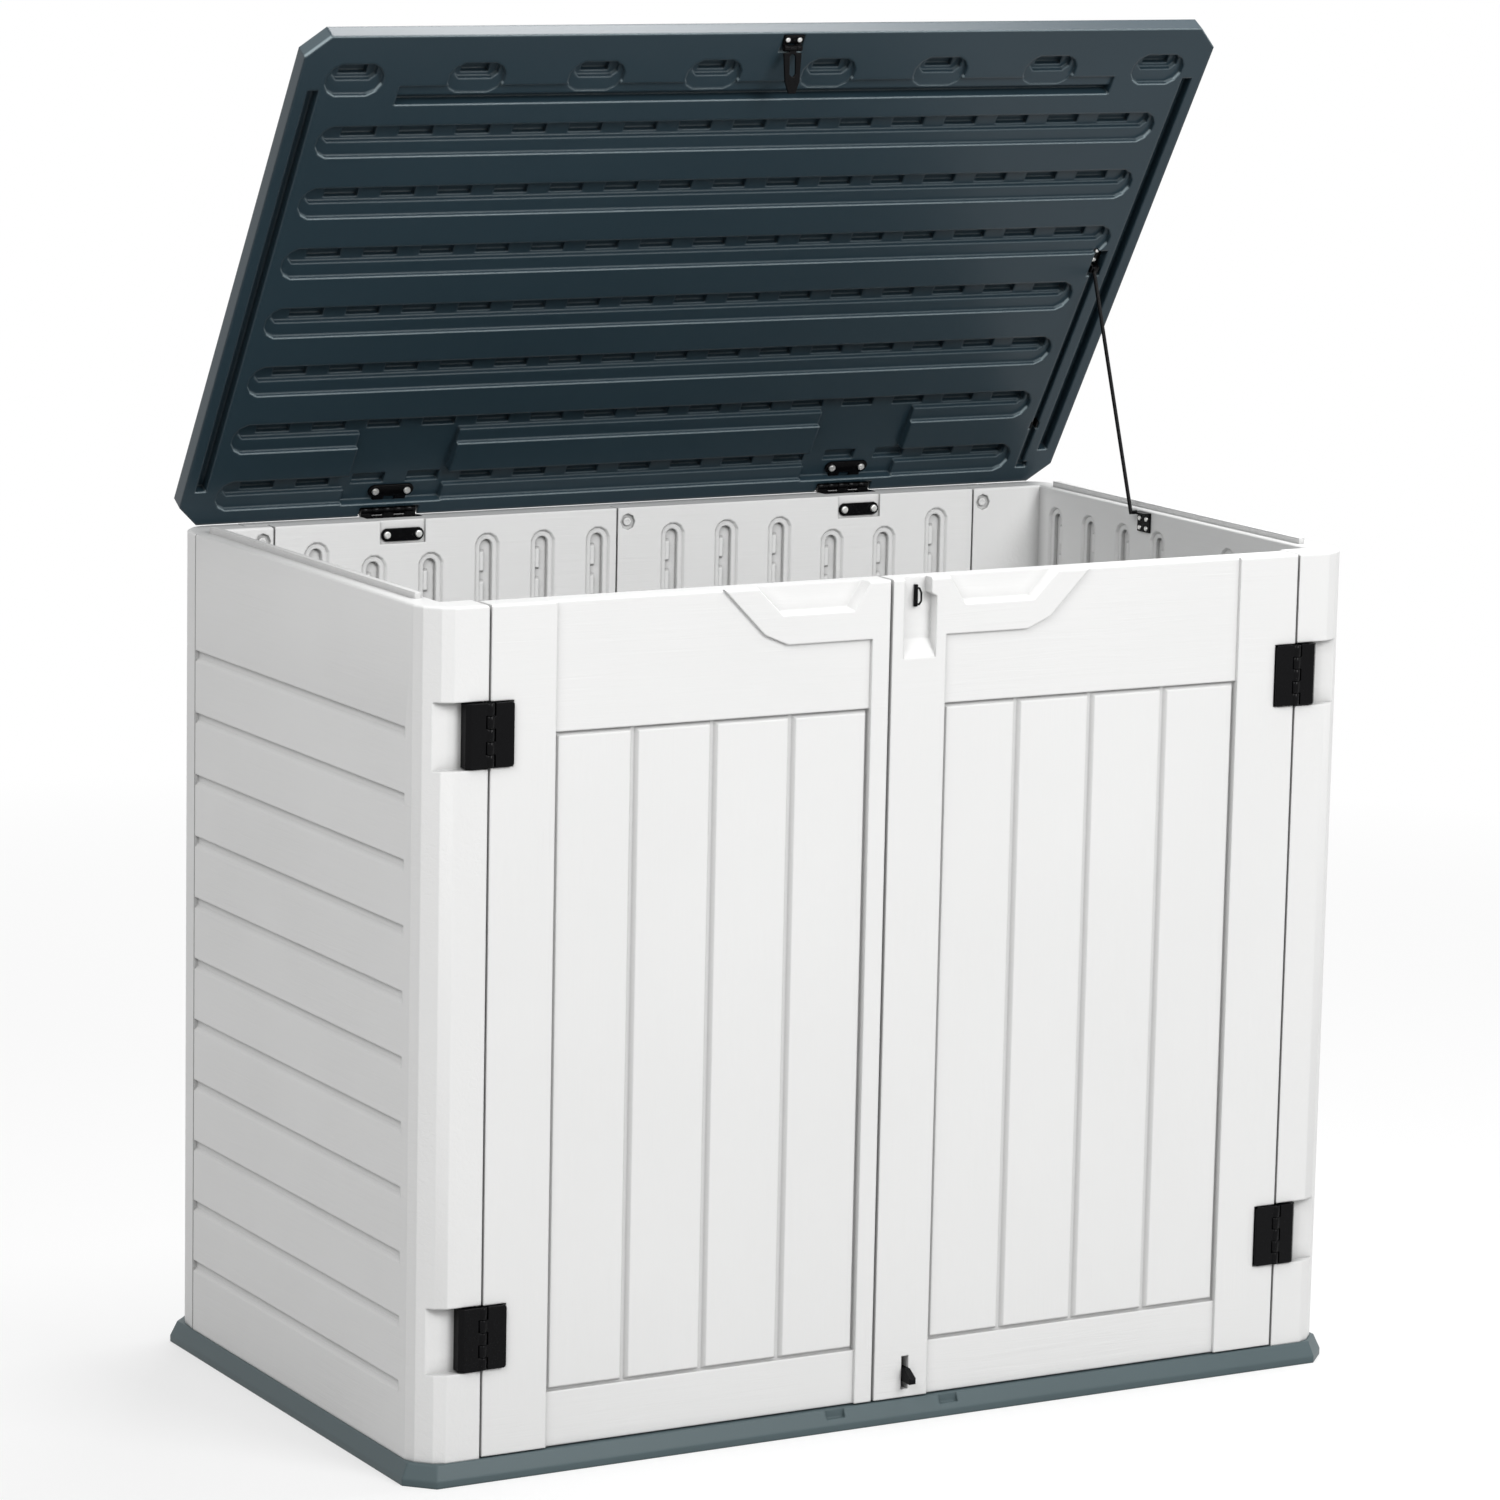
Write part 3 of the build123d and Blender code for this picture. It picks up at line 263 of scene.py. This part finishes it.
# Slate plastic
def lip_highlight_mask(tree, normal):
    """Mask of the painted lip highlight: high where a rounded edge leans up the open lid, most of all near
    the face of its underside.
    """
    turned = node(tree, "ShaderNodeVectorTransform", vector_type="NORMAL", convert_from="WORLD",
                  convert_to="OBJECT")
    link(tree, normal, turned.inputs["Vector"])
    lean = along(tree, turned.outputs["Vector"], LID_UP)
    edge = compute(tree, "MULTIPLY", ramp(tree, lean, LIP_RISE), ramp(tree, lean, LIP_FADE, (1, 0)))
    level = along(tree, object_place(tree), LID_DOWN)
    levels = tuple(LID_LEVEL - depth for depth in LIP_DEPTHS)
    near_face = ramp(tree, level, levels, (LIP_BELOW, 1))
    return compute(tree, "MULTIPLY", edge, near_face)


def moulded_slate(name, colour, rough, lip_highlights):
    """Dark slate polyethylene with a fine moulded stipple, with or without a painted highlight along each
    lip.
    """
    material, tree, shader = new_material(name)
    stipple = noise(tree, (900, 900, 900), detail=2.0, roughness=0.5)
    flow = noise(tree, (3, 5, 5), detail=2.0, roughness=0.45)
    soft = rounded(tree, SLATE_EDGE)
    surface = mix(tree, "RGBA", ramp(tree, flow, (0.1, 0.9)), shade(colour, 0.92), shade(colour, 1.08))
    if lip_highlights:
        # Painted highlight: lighter colour where a rounded lip leans up the open lid
        surface = mix(tree, "RGBA", lip_highlight_mask(tree, soft), surface, SLATE_LIP_HIGHLIGHT)
    link(tree, surface, shader.inputs["Base Color"])
    link(tree, ramp(tree, flow, (0.1, 0.9), (rough - 0.03, rough + 0.04)), shader.inputs["Roughness"])
    shader.inputs["Specular IOR Level"].default_value = SLATE_SPECULAR
    link(tree, bump(tree, stipple, strength=0.10, depth=0.0003, below=soft), shader.inputs["Normal"])
    return material


# Hardware
def coated_black(name, rough):
    """Black coating with a faint orange peel."""
    material, tree, shader = new_material(name)
    peel = noise(tree, (350, 350, 350), detail=3.0, roughness=0.5)
    link(tree, mix(tree, "RGBA", peel, shade(BLACK, 0.8), shade(BLACK, 1.3)), shader.inputs["Base Color"])
    link(tree, ramp(tree, peel, (0.3, 0.7), (rough - 0.05, rough + 0.08)), shader.inputs["Roughness"])
    shader.inputs["Specular IOR Level"].default_value = BLACK_SPECULAR
    soft = rounded(tree, BLACK_EDGE)
    link(tree, bump(tree, peel, strength=0.02, depth=0.0002, below=soft), shader.inputs["Normal"])
    return material


def plated_zinc(name):
    """Bright zinc plating with a fine crystal grain."""
    material, tree, shader = new_material(name)
    grain = noise(tree, (500, 500, 500), detail=4.0, roughness=0.6)
    link(tree, mix(tree, "RGBA", grain, shade(ZINC, 0.85), shade(ZINC, 1.1)), shader.inputs["Base Color"])
    shader.inputs["Metallic"].default_value = 1.0
    link(tree, ramp(tree, grain, (0.3, 0.7), (0.28, 0.42)), shader.inputs["Roughness"])
    link(tree, bump(tree, grain, strength=0.06, depth=0.0002), shader.inputs["Normal"])
    return material


white_x = moulded_white("white_grain_x", GRAIN_ALONG_X)
white_y = moulded_white("white_grain_y", GRAIN_ALONG_Y)
white_z = moulded_white("white_grain_z", GRAIN_ALONG_Z)
white_door = moulded_door("white_door")
slate = moulded_slate("slate_plastic", SLATE, rough=0.30, lip_highlights=True)
# Base slate, lighter than the lid's, partly as painted light
slate_floor_partly_lit = moulded_slate("slate_floor_partly_lit", SLATE_FLOOR_PARTLY_LIT, rough=0.42, lip_highlights=False)
black_metal = coated_black("black_metal", rough=0.18)
black_plastic = coated_black("black_plastic", rough=0.42)
zinc = plated_zinc("zinc_steel")

BY_NODE = {
    "left_side_panel": white_y,
    "right_side_panel": white_y,
    "rear_left_panel": white_x,
    "rear_right_panel": white_x,
    "left_door": white_door,
    "right_door": white_door,
    "base_floor": slate_floor_partly_lit,
}
BY_SLOT = {
    "white_plastic": white_z,
    "slate_plastic": slate,
    "black_metal": black_metal,
    "black_plastic": black_plastic,
    "zinc_steel": zinc,
}

# Small real bevels on the solids; the wider soft edges are in the materials
BEVEL = {"base_floor": 0.0008}
SMALL_BEVEL = 0.0003
BEVEL_STEPS = 2
BEVEL_ANGLE = math.radians(20)
WELD_REACH = 0.00001
FLAT_ANGLE = math.radians(0.5)
SPLIT_ANGLE = math.radians(1)


def finish_node(name, item):
    """Material of a solid, and its edges: the lid's are sharp, and those of the rest get a small bevel."""
    item.data.materials.clear()
    item.data.materials.append(BY_NODE.get(name, BY_SLOT[slot_of[name]]))
    if name == "lid":
        split = item.modifiers.new("split", "EDGE_SPLIT")
        split.split_angle = SPLIT_ANGLE
        return
    weld = item.modifiers.new("weld", "WELD")
    weld.merge_threshold = WELD_REACH
    flat = item.modifiers.new("flat", "DECIMATE")
    flat.decimate_type = "DISSOLVE"
    flat.angle_limit = FLAT_ANGLE
    edge = item.modifiers.new("edge", "BEVEL")
    edge.width = BEVEL.get(name, SMALL_BEVEL)
    edge.segments = BEVEL_STEPS
    edge.limit_method = "ANGLE"
    edge.angle_limit = BEVEL_ANGLE
    edge.use_clamp_overlap = True


for name, item in frame["nodes"].items():
    finish_node(name, item)


# Mesh helpers
def add_shape(name, shape, material, body):
    """Piece from a bmesh, with its faces turned outwards, that rides on a body."""
    bmesh.ops.recalc_face_normals(shape, faces=shape.faces)
    mesh = bpy.data.meshes.new(name)
    shape.to_mesh(mesh)
    shape.free()
    mesh.materials.append(material)
    item = bpy.data.objects.new(name, mesh)
    scene.collection.objects.link(item)
    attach(item, body)


def add_points(name, points, faces, material, body):
    shape = bmesh.new()
    corners = [shape.verts.new(point) for point in points]
    for face in faces:
        shape.faces.new([corners[index] for index in face])
    add_shape(name, shape, material, body)


def loop_faces(lower, upper):
    count = len(lower)
    return [(lower[i], lower[(i + 1) % count], upper[(i + 1) % count], upper[i]) for i in range(count)]


def add_ring(shape, centre, across, other, radius, sides):
    turns = [math.tau * step / sides for step in range(sides)]
    return [shape.verts.new(centre + radius * (across * math.cos(turn) + other * math.sin(turn)))
            for turn in turns]


# Screw heads: radius and height of each kind, and how far they stand over the plain heads of the solids
PLATE_HEAD = (0.0045, 0.0025)
SMALL_HEAD = (0.0030, 0.0015)
SEAM_HEAD = (0.0055, 0.0025)
HEAD_OVER = 0.00015
HEAD_SIDES = 24

# Dome in shares of radius and height, and the cross recess in shares of the same
HEAD_PROFILE = ((1.0, 0.0), (1.0, 0.35), (0.95, 0.66), (0.85, 0.88), (0.72, 1.0))
CROSS_ARM = 0.58
CROSS_SLIT = 0.14
CROSS_TAPER = 0.8
CROSS_FLOOR = 0.35


def cross_outline(radius):
    arm, slit = CROSS_ARM * radius, CROSS_SLIT * radius
    corners = [(arm, -slit), (arm, slit), (slit, slit)]
    outline = []
    for _ in range(4):
        outline += corners
        corners = [(-v, u) for u, v in corners]
    return outline


def pan_heads(name, spots, normal, head, material, body):
    """Domed screw heads with a cross recess, set over the plain heads of the solids."""
    radius, height = (size + HEAD_OVER for size in head)
    turn = UP.rotation_difference(normal).to_matrix()
    across, other, rise_way = turn @ RIGHT, turn @ REAR, turn @ UP
    cross = cross_outline(radius)
    shape = bmesh.new()
    for spot in spots:
        rings = []
        for reach, rise in HEAD_PROFILE:
            centre = spot + rise * height * rise_way
            rings.append(add_ring(shape, centre, across, other, reach * radius, HEAD_SIDES))
        for lower, upper in zip(rings, rings[1:]):
            for quad in loop_faces(lower, upper):
                shape.faces.new(quad).smooth = True
        top = spot + height * rise_way
        floor = spot + CROSS_FLOOR * height * rise_way
        mouth = [shape.verts.new(top + across * u + other * v) for u, v in cross]
        pit = [shape.verts.new(floor + CROSS_TAPER * (across * u + other * v)) for u, v in cross]
        for quad in loop_faces(pit, mouth):
            shape.faces.new(quad)
        shape.faces.new(pit)
        edges = []
        for ring in (rings[-1], mouth):
            for pair in zip(ring, ring[1:] + ring[:1]):
                edges.append(shape.edges.get(pair) or shape.edges.new(pair))
        bmesh.ops.triangle_fill(shape, edges=edges, use_beauty=True)
    add_shape(name, shape, material, body)


def lid_place(x, line, rise):
    """Point under the open lid: line from its rear edge to the front, rise through its thickness."""
    across = LID_REAR - line
    return Vector((x, LID_AXIS[0] + across * math.cos(LID_ANGLE) + rise * math.sin(LID_ANGLE),
                   LID_AXIS[1] - across * math.sin(LID_ANGLE) + rise * math.cos(LID_ANGLE)))


# Places of the screws; a FACE is the surface that their heads stand on
LID_HINGE_SCREW = 0.0215
WALL_PLATE_FACE = INNER_Y + 0.0005
WALL_PLATE_Z = 0.997
LID_LEAF_LINE = 0.0325
LID_LEAF_RISE = 0.003
SHELF_FACE = INNER_X - 0.0025
SHELF_Y = (0.048, 0.063)
SHELF_Z = (0.992, 1.004)
BRACKET_LINES = (0.356, 0.371)
BRACKET_RISE = 0.005
HASP_SCREW = 0.008
HASP_LINE = 0.710
HASP_RISE = -0.0055
SEAM_FACE = INNER_Y + 0.004
SEAM_X = (-0.525, -0.023, 0.500)
SEAM_Z = (0.075, 0.997)
DOOR_HINGE_SCREW_X = 0.0175
DOOR_HINGE_SCREW_Z = 0.022
POST_PLATE_FACE = -0.3015
DOOR_PLATE_FACE = -0.3105
STAPLE_FACE = -0.313
STAPLE_Z = 0.993
STAPLE_SCREW = 0.009

lid_screw_x = [x + step for x in LID_HINGE_X for step in (-LID_HINGE_SCREW, LID_HINGE_SCREW)]
pan_heads("wall_plate_heads", [Vector((x, WALL_PLATE_FACE, WALL_PLATE_Z)) for x in lid_screw_x], FRONT,
          PLATE_HEAD, zinc, "cabinet")
pan_heads("lid_plate_heads", [lid_place(x, LID_LEAF_LINE, LID_LEAF_RISE) for x in lid_screw_x], LID_DOWN,
          PLATE_HEAD, zinc, "lid")
pan_heads("shelf_heads", [Vector((SHELF_FACE, y, z)) for y in SHELF_Y for z in SHELF_Z], LEFT,
          SMALL_HEAD, zinc, "cabinet")
pan_heads("bracket_heads", [lid_place(ROD_X, line, BRACKET_RISE) for line in BRACKET_LINES], LID_DOWN,
          SMALL_HEAD, zinc, "lid")
hasp_screw_x = (HASP_X - HASP_SCREW, HASP_X + HASP_SCREW)
pan_heads("hasp_heads", [lid_place(x, HASP_LINE, HASP_RISE) for x in hasp_screw_x], LID_DOWN,
          SMALL_HEAD, zinc, "lid")
pan_heads("seam_heads", [Vector((x, SEAM_FACE, z)) for x in SEAM_X for z in SEAM_Z], FRONT,
          SEAM_HEAD, white_z, "cabinet")
door_screw_z = [z + step for z in DOOR_HINGE_Z for step in (-DOOR_HINGE_SCREW_Z, DOOR_HINGE_SCREW_Z)]
for side, holder in SIDES:
    post_x = side * (DOOR_HINGE_X + DOOR_HINGE_SCREW_X)
    door_x = side * (DOOR_HINGE_X - DOOR_HINGE_SCREW_X)
    pan_heads(holder + "_post_heads", [Vector((post_x, POST_PLATE_FACE, z)) for z in door_screw_z], REAR,
              PLATE_HEAD, zinc, "cabinet")
    pan_heads(holder + "_door_heads", [Vector((door_x, DOOR_PLATE_FACE, z)) for z in door_screw_z], REAR,
              PLATE_HEAD, zinc, holder + "_door")
staple_screw_z = (STAPLE_Z - STAPLE_SCREW, STAPLE_Z + STAPLE_SCREW)
pan_heads("staple_heads", [Vector((HASP_X, STAPLE_FACE, z)) for z in staple_screw_z], REAR,
          SMALL_HEAD, zinc, "right_door")

# Round sleeves over the knuckles of the hinges; a hinge has five bands, counted from its middle
SLEEVE_SIDES = 28
SLEEVE_OVER = 0.00004
SLEEVE_CHAMFER = 0.0006
SLEEVE_BORE = 0.75
KNUCKLE_GAP = 0.0004
THREE_BANDS = (-2, 0, 2)
TWO_BANDS = (-1, 1)

# Length of a band and radius of the barrel
DOOR_KNUCKLE = (0.0148, 0.0055)
LID_KNUCKLE = (0.015, 0.006)


def knuckle_sleeves(name, middles, bands, knuckle, axis, body):
    """Smooth barrels with chamfered ends, one over each named band of the hinges at the given middles."""
    band, radius = knuckle
    bore = SLEEVE_BORE * radius
    outer = radius + SLEEVE_OVER
    half = (band - KNUCKLE_GAP) / 2 + SLEEVE_OVER
    across = axis.orthogonal().normalized()
    other = axis.cross(across)
    profile = ((bore, -half), (outer - SLEEVE_CHAMFER, -half), (outer, SLEEVE_CHAMFER - half),
               (outer, half - SLEEVE_CHAMFER), (outer - SLEEVE_CHAMFER, half), (bore, half))
    shape = bmesh.new()
    for middle in middles:
        for index in bands:
            rings = []
            for reach, step in profile:
                centre = middle + axis * (index * band + step)
                rings.append(add_ring(shape, centre, across, other, reach, SLEEVE_SIDES))
            barrel = rings[2]
            for lower, upper in zip(rings, rings[1:] + rings[:1]):
                for quad in loop_faces(lower, upper):
                    shape.faces.new(quad).smooth = lower is barrel
    add_shape(name, shape, black_metal, body)


for side, holder in SIDES:
    middles = [Vector((side * DOOR_HINGE_X, DOOR_HINGE_Y, z)) for z in DOOR_HINGE_Z]
    post_bands, door_bands = (THREE_BANDS, TWO_BANDS) if side < 0 else (TWO_BANDS, THREE_BANDS)
    knuckle_sleeves(holder + "_post_knuckles", middles, post_bands, DOOR_KNUCKLE, UP, "cabinet")
    knuckle_sleeves(holder + "_door_knuckles", middles, door_bands, DOOR_KNUCKLE, UP, holder + "_door")
middles = [Vector((x, *LID_AXIS)) for x in LID_HINGE_X]
knuckle_sleeves("lid_wall_knuckles", middles, THREE_BANDS, LID_KNUCKLE, RIGHT, "cabinet")
knuckle_sleeves("lid_leaf_knuckles", middles, TWO_BANDS, LID_KNUCKLE, RIGHT, "lid")

# Black beds of the lid hinges on the top of the rear wall: half length, and the section in Y and Z
BED_HALF = 0.0375
BED_SECTION = ((0.3590, 1.0148), (0.3590, 1.0156), (0.3312, 1.0156), (0.3303, 1.0153), (0.3300, 1.0148))


def hinge_bed(name, middle):
    """Thin strip with a rounded front edge, drawn out along X."""
    count = len(BED_SECTION)
    points = [(middle + end * BED_HALF, y, z) for end in (-1, 1) for y, z in BED_SECTION]
    near, far = range(count), range(count, 2 * count)
    add_points(name, points, loop_faces(near, far) + [far, near], black_metal, "cabinet")


for (_, holder), middle in zip(SIDES, LID_HINGE_X):
    hinge_bed(holder + "_hinge_bed", middle)

# Wall slots: lowest point, end radius, places, and how far their tops lie below TOP, more so under a hinge
SLOT_LOW = 0.068
SLOT_RADIUS = 0.017
REAR_SLOT_START = {"left": -0.453, "right": 0.042}
REAR_SLOT_PITCH = 0.0776
REAR_SLOT_COUNT = 6
REAR_SLOT_DROP = 0.022
HINGE_SLOT_DROP = 0.020
SIDE_SLOTS = (-0.134, 0.025, 0.106, 0.187, 0.266)
SIDE_SLOT_DROP = 0.024

# Liner of a slot: radius and depth of each ring
LINER = ((0.0153, 0.0034), (0.0094, 0.0034), (0.0086, 0.0042), (0.0082, 0.0093), (0.0115, 0.0093))
LINER_STEPS = 8

# Tack-off nibs: pitch and drop of the first
NIB_PITCH = 0.038
NIB_DROP = 0.036
# Half height, span across the slot and depth, of a nib's foot and of its face
NIB = ((0.0145, -0.0090, -0.0010, 0.0093), (0.0115, -0.0090, -0.0030, 0.0046))


def slot_ring(foot, height, radius, depth, across, inward):
    points = []
    for middle, start in ((height - SLOT_RADIUS, 0.0), (SLOT_RADIUS, math.pi)):
        for step in range(LINER_STEPS + 1):
            angle = start + math.pi * step / LINER_STEPS
            points.append(foot + inward * depth + across * (radius * math.cos(angle))
                          + UP * (middle + radius * math.sin(angle)))
    return points


def slot_liners(name, slots, across, inward, material):
    """Narrow inner slots, each with nibs along one side, in slots given by foot point and height."""
    points, faces = [], []
    for foot, height in slots:
        rings = []
        for radius, depth in LINER:
            ring = slot_ring(foot, height, radius, depth, across, inward)
            rings.append(range(len(points), len(points) + len(ring)))
            points += ring
        for lower, upper in zip(rings, rings[1:] + rings[:1]):
            faces += loop_faces(lower, upper)
        for step in range(int((height - 2 * SLOT_RADIUS) / NIB_PITCH)):
            middle = foot + UP * (height - NIB_DROP - step * NIB_PITCH)
            base = len(points)
            for half, near, far, depth in NIB:
                for u, v in ((near, -half), (far, -half), (far, half), (near, half)):
                    points.append(middle + across * u + inward * depth + UP * v)
            lower, upper = range(base, base + 4), range(base + 4, base + 8)
            faces += loop_faces(lower, upper) + [upper, lower]
    add_points(name, points, faces, material, "cabinet")


for (side, holder), hinge_x in zip(SIDES, LID_HINGE_X):
    slots = []
    for count in range(REAR_SLOT_COUNT):
        x = REAR_SLOT_START[holder] + count * REAR_SLOT_PITCH
        under_hinge = abs(x - hinge_x) < REAR_SLOT_PITCH
        drop = REAR_SLOT_DROP + (HINGE_SLOT_DROP if under_hinge else 0.0)
        slots.append((Vector((x, INNER_Y, SLOT_LOW)), TOP - drop - SLOT_LOW))
    slot_liners("rear_" + holder + "_slots", slots, RIGHT, REAR, white_x)
    slots = [(Vector((side * INNER_X, y, SLOT_LOW)), TOP - SIDE_SLOT_DROP - SLOT_LOW) for y in SIDE_SLOTS]
    slot_liners(holder + "_side_slots", slots, REAR, Vector((side, 0, 0)), white_y)


# Studio
def softbox(name, place, target, size, power):
    data = bpy.data.lights.new(name, "AREA")
    data.shape = "RECTANGLE"
    data.size, data.size_y = size
    data.energy = power
    item = bpy.data.objects.new(name, data)
    scene.collection.objects.link(item)
    item.location = place
    direction = (Vector(target) - item.location).normalized()
    item.rotation_euler = direction.to_track_quat("-Z", "Y").to_euler()


softbox("key_light", place=(1.3, -4.2, 3.2), target=(0, 0, 0.7), size=(2.2, 2.0), power=137)
softbox("fill_light", place=(-3.3, -2.3, 3.9), target=(0, 0, 0.9), size=(2.2, 2.2), power=96)
softbox("top_light", place=(1.0, 0.56, 3.8), target=(-0.1, -0.03, 1.62), size=(2.8, 1.0), power=105)

AMBIENT = 0.36
FLOOR_REACH = 60.0
FLOOR_BOUNCE = (0.45, 0.45, 0.45)
FLOOR_SEEN = (0.88, 0.88, 0.88)
# Distances over which the floor runs out to white, and the share of white at both ends
FLOOR_FADE = (0.8, 4.0)
FLOOR_WHITE = (0.55, 1.0)


def backdrop_rays(tree):
    """1 for the rays that show the white backdrop: of the camera, of reflections and through glass."""
    rays = node(tree, "ShaderNodeLightPath").outputs
    mirrored = compute(tree, "MAXIMUM", rays["Is Glossy Ray"], rays["Is Transmission Ray"])
    return compute(tree, "MAXIMUM", rays["Is Camera Ray"], mirrored)


def background(tree, strength):
    made = node(tree, "ShaderNodeBackground")
    made.inputs["Color"].default_value = PURE_WHITE
    made.inputs["Strength"].default_value = strength
    return made.outputs["Background"]


def mix_shaders(tree, factor, first, second, target):
    made = node(tree, "ShaderNodeMixShader")
    link(tree, factor, made.inputs["Fac"])
    link(tree, first, made.inputs[1])
    link(tree, second, made.inputs[2])
    link(tree, made.outputs["Shader"], target)


def make_world():
    """Even ambient light, with a white backdrop."""
    world = bpy.data.worlds.new("studio")
    scene.world = world
    world.use_nodes = True
    tree = world.node_tree
    tree.nodes.clear()
    out = node(tree, "ShaderNodeOutputWorld")
    mix_shaders(tree, backdrop_rays(tree), background(tree, AMBIENT), background(tree, 1.0),
                out.inputs["Surface"])


def pale_floor():
    """Pale matt floor that keeps the shadow near the object and runs out to white."""
    material, tree, shader = new_material("pale_floor")
    shader.inputs["Roughness"].default_value = 0.9
    shader.inputs["Specular IOR Level"].default_value = 0.1
    shown = backdrop_rays(tree)
    link(tree, mix(tree, "RGBA", shown, FLOOR_BOUNCE, FLOOR_SEEN), shader.inputs["Base Color"])
    glow = node(tree, "ShaderNodeEmission")
    glow.inputs["Color"].default_value = PURE_WHITE
    glow.inputs["Strength"].default_value = 1.0
    distance = node(tree, "ShaderNodeVectorMath", operation="LENGTH")
    link(tree, object_place(tree), distance.inputs[0])
    fade = ramp(tree, distance.outputs["Value"], FLOOR_FADE, FLOOR_WHITE)
    share = compute(tree, "MULTIPLY", fade, shown)
    mix_shaders(tree, share, shader.outputs["BSDF"], glow.outputs["Emission"],
                tree.nodes["Material Output"].inputs["Surface"])
    return material


def make_floor():
    corners = ((-1, -1), (1, -1), (1, 1), (-1, 1))
    mesh = bpy.data.meshes.new("floor")
    mesh.from_pydata([(FLOOR_REACH * x, FLOOR_REACH * y, 0) for x, y in corners], [], [(0, 1, 2, 3)])
    mesh.materials.append(pale_floor())
    floor = bpy.data.objects.new("floor", mesh)
    scene.collection.objects.link(floor)


def make_camera():
    data = bpy.data.cameras.new("camera")
    data.lens = CAMERA_LENS
    data.sensor_width = CAMERA_SENSOR
    data.clip_end = CAMERA_REACH
    camera = bpy.data.objects.new("camera", data)
    scene.collection.objects.link(camera)
    axes = Matrix((CAMERA_RIGHT, -CAMERA_DOWN, -CAMERA_FORWARD)).transposed()
    camera.matrix_world = Matrix.Translation(CAMERA_PLACE) @ axes.to_4x4()
    scene.camera = camera


make_world()
make_floor()
make_camera()

scene.view_settings.view_transform = "Standard"
